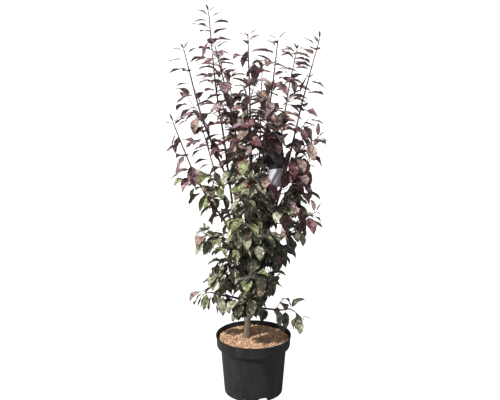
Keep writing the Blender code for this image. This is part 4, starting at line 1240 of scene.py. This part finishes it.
def leaf_finish(name, colour, low, high, vein_relief):
    """A leaf's skin on one side: one colour mottled with painted sheen and painted shade, paler veins
    and an uneven waxy gloss.
    """
    material, tree, shader = finish_of(name, colour, low)
    shade, light, vein = (tuple(min(1.0, times * c + more) for c in colour)
                          for times, more in (LEAF_SHADE, LEAF_LIGHT, LEAF_VEIN))
    # Painted sheen in broad pale patches and painted shade in small dark mottles, both at random over the
    # leaf.
    painted_sheen_patches = placed(tree, "patches", Scale=17.0, Low=0.40, High=0.62)
    painted_shade_mottles = placed(tree, "patches", Scale=95.0, Low=0.46, High=0.60)
    gloss = placed(tree, "grain", Scale=160.0, Detail=3.0)
    ribs = placed(tree, "veins", Pairs=14.0, Furrow=0.5)
    crest = spanned(tree, ribs, 0.0, 0.60, From_Min=0.76)
    painted_sheen_and_shade_tone = blended(tree, painted_shade_mottles, blended(tree, painted_sheen_patches, colour, light), shade)
    fed(tree, shader, Base_Color=blended(tree, crest, painted_sheen_and_shade_tone, vein), Roughness=spanned(tree, gloss, low, high),
        Normal=bumped(tree, (ribs, vein_relief), (gloss, 0.0021)))
    return material


# A leaf is kept as the eleven values that shape it, then its colour and its mass.
KIND, MASS = 11, 12
for kind, (upper, lower) in LEAF_KINDS.items():
    rows = [row for row in leaves if row[KIND] == kind]
    columns = [np.array([row[k] for row in rows]) for k in range(KIND)]
    rings = leaf_rings(*columns, LEAF_STATIONS)
    tips = leaf_rings(*columns, np.append(LEAF_STATIONS, 1.0))[:, -1, 1::2].mean(axis=1)
    points, faces = closed_skins(rings, columns[0], tips)
    v = np.append(np.repeat(LEAF_STATIONS, 4), (0, 1))
    u = np.append(np.tile((1.0, 0.5, 0.0, 0.5), len(LEAF_STATIONS)), (0.5, 0.5))
    uv = np.tile(np.column_stack([u, v]), (len(rows), 1))
    piece = made_piece("leaves_" + kind, points, faces, LEAF_CREASE, uv)
    piece.data.materials.append(leaf_finish(kind + "_upper", upper, 0.22, 0.46, 0.0017))
    piece.data.materials.append(leaf_finish(kind + "_lower", lower, 0.50, 0.75, -0.0017))
    side_of = np.tile((0, 0, 1, 1), len(faces[0]) // 4 + len(faces[1]) // 4)
    piece.data.polygons.foreach_set("material_index", side_of.astype(np.int32))
    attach(piece, "root")
    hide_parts(*sorted({row[MASS] + "_foliage" for row in rows if row[MASS]}))

# The studio: a pale seamless sweep that is floor and backdrop in one, bright to the eye but without
# glare on the plant, a hazy sun high on the left front, and a weak fill that keeps the shaded side open.
SWEEP_WIDTH, SWEEP_FRONT, SWEEP_BACK, SWEEP_BEND, SWEEP_HEIGHT = 40.0, -12.0, 8.0, 4.0, 16.0
PAPER = (0.20, 0.20, 0.199)
PAPER_GLOW = 0.97
PLANT_MIDDLE = Vector((0.0, 0.0, 0.6))
bend = np.linspace(0, math.pi / 2, 24)
sweep_line = np.vstack([
    [(SWEEP_FRONT, 0.0)],
    np.column_stack([SWEEP_BACK + SWEEP_BEND * np.sin(bend), SWEEP_BEND * (1 - np.cos(bend))]),
    [(SWEEP_BACK + SWEEP_BEND, SWEEP_HEIGHT)],
])
sides = np.tile((-SWEEP_WIDTH / 2, SWEEP_WIDTH / 2), len(sweep_line))
grid = np.column_stack([sides, np.repeat(sweep_line, 2, axis=0)])
row = 2 * np.arange(len(sweep_line) - 1)
sweep = made_piece("studio_sweep", grid, [np.stack([row, row + 1, row + 3, row + 2], axis=1)])
paper, tree, shader = finish_of("sweep_paper", PAPER, 0.9)
tooth = placed(tree, "grain", Scale=30.0, Detail=2.0)
ray = node_of(tree, "ShaderNodeLightPath")
fed(tree, shader, Normal=bumped(tree, (tooth, 0.0002)), Emission_Color=(PAPER_GLOW, PAPER_GLOW, PAPER_GLOW),
    Emission_Strength=ray.outputs["Is Camera Ray"])
sweep.data.materials.append(paper)
sweep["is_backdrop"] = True


def lamp_at(name, kind, place, energy, colour, **values):
    """A lamp of this kind that shines from a place to the middle of the plant."""
    lamp = bpy.data.lights.new(name, kind)
    for title, value in {"energy": energy, "color": colour, **values}.items():
        setattr(lamp, title, value)
    light = bpy.data.objects.new(name, lamp)
    light.location = place
    light.rotation_euler = (PLANT_MIDDLE - Vector(place)).to_track_quat("-Z", "Y").to_euler()
    bpy.context.scene.collection.objects.link(light)


lamp_at("key", "SUN", (-2.4, -2.2, 4.0), 6.2, (1.0, 0.98, 0.95), angle=math.radians(4))
lamp_at("fill", "AREA", (3.4, -2.6, 1.6), 15.0, (0.92, 0.96, 1.0), shape="SQUARE", size=2.4)
world = bpy.data.worlds.new("studio_air")
world.use_nodes = True
tree = world.node_tree
seen = node_of(tree, "ShaderNodeLightPath").outputs["Is Camera Ray"]
fed(tree, tree.nodes["Background"], Color=(0.95, 0.97, 1.0), Strength=spanned(tree, seen, 0.58, 1.08))
bpy.context.scene.world = world
bpy.context.scene.view_settings.view_transform = "Standard"

# The camera stands at head height in front of the pot and looks a little down, as in the photograph.
CAMERA_PLACE = (-0.013, -3.0, 1.45)
CAMERA_DOWN = math.radians(13.36)
FRAME_WIDTH, FOCAL, SENSOR_WIDTH = 500, 859.6, 36.0
lens = bpy.data.cameras.new("front_view")
lens.sensor_width = SENSOR_WIDTH
lens.lens = SENSOR_WIDTH * FOCAL / FRAME_WIDTH
camera = bpy.data.objects.new("front_view", lens)
camera.location = CAMERA_PLACE
camera.rotation_euler = (math.pi / 2 - CAMERA_DOWN, 0.0, 0.0)
bpy.context.scene.collection.objects.link(camera)
bpy.context.scene.camera = camera
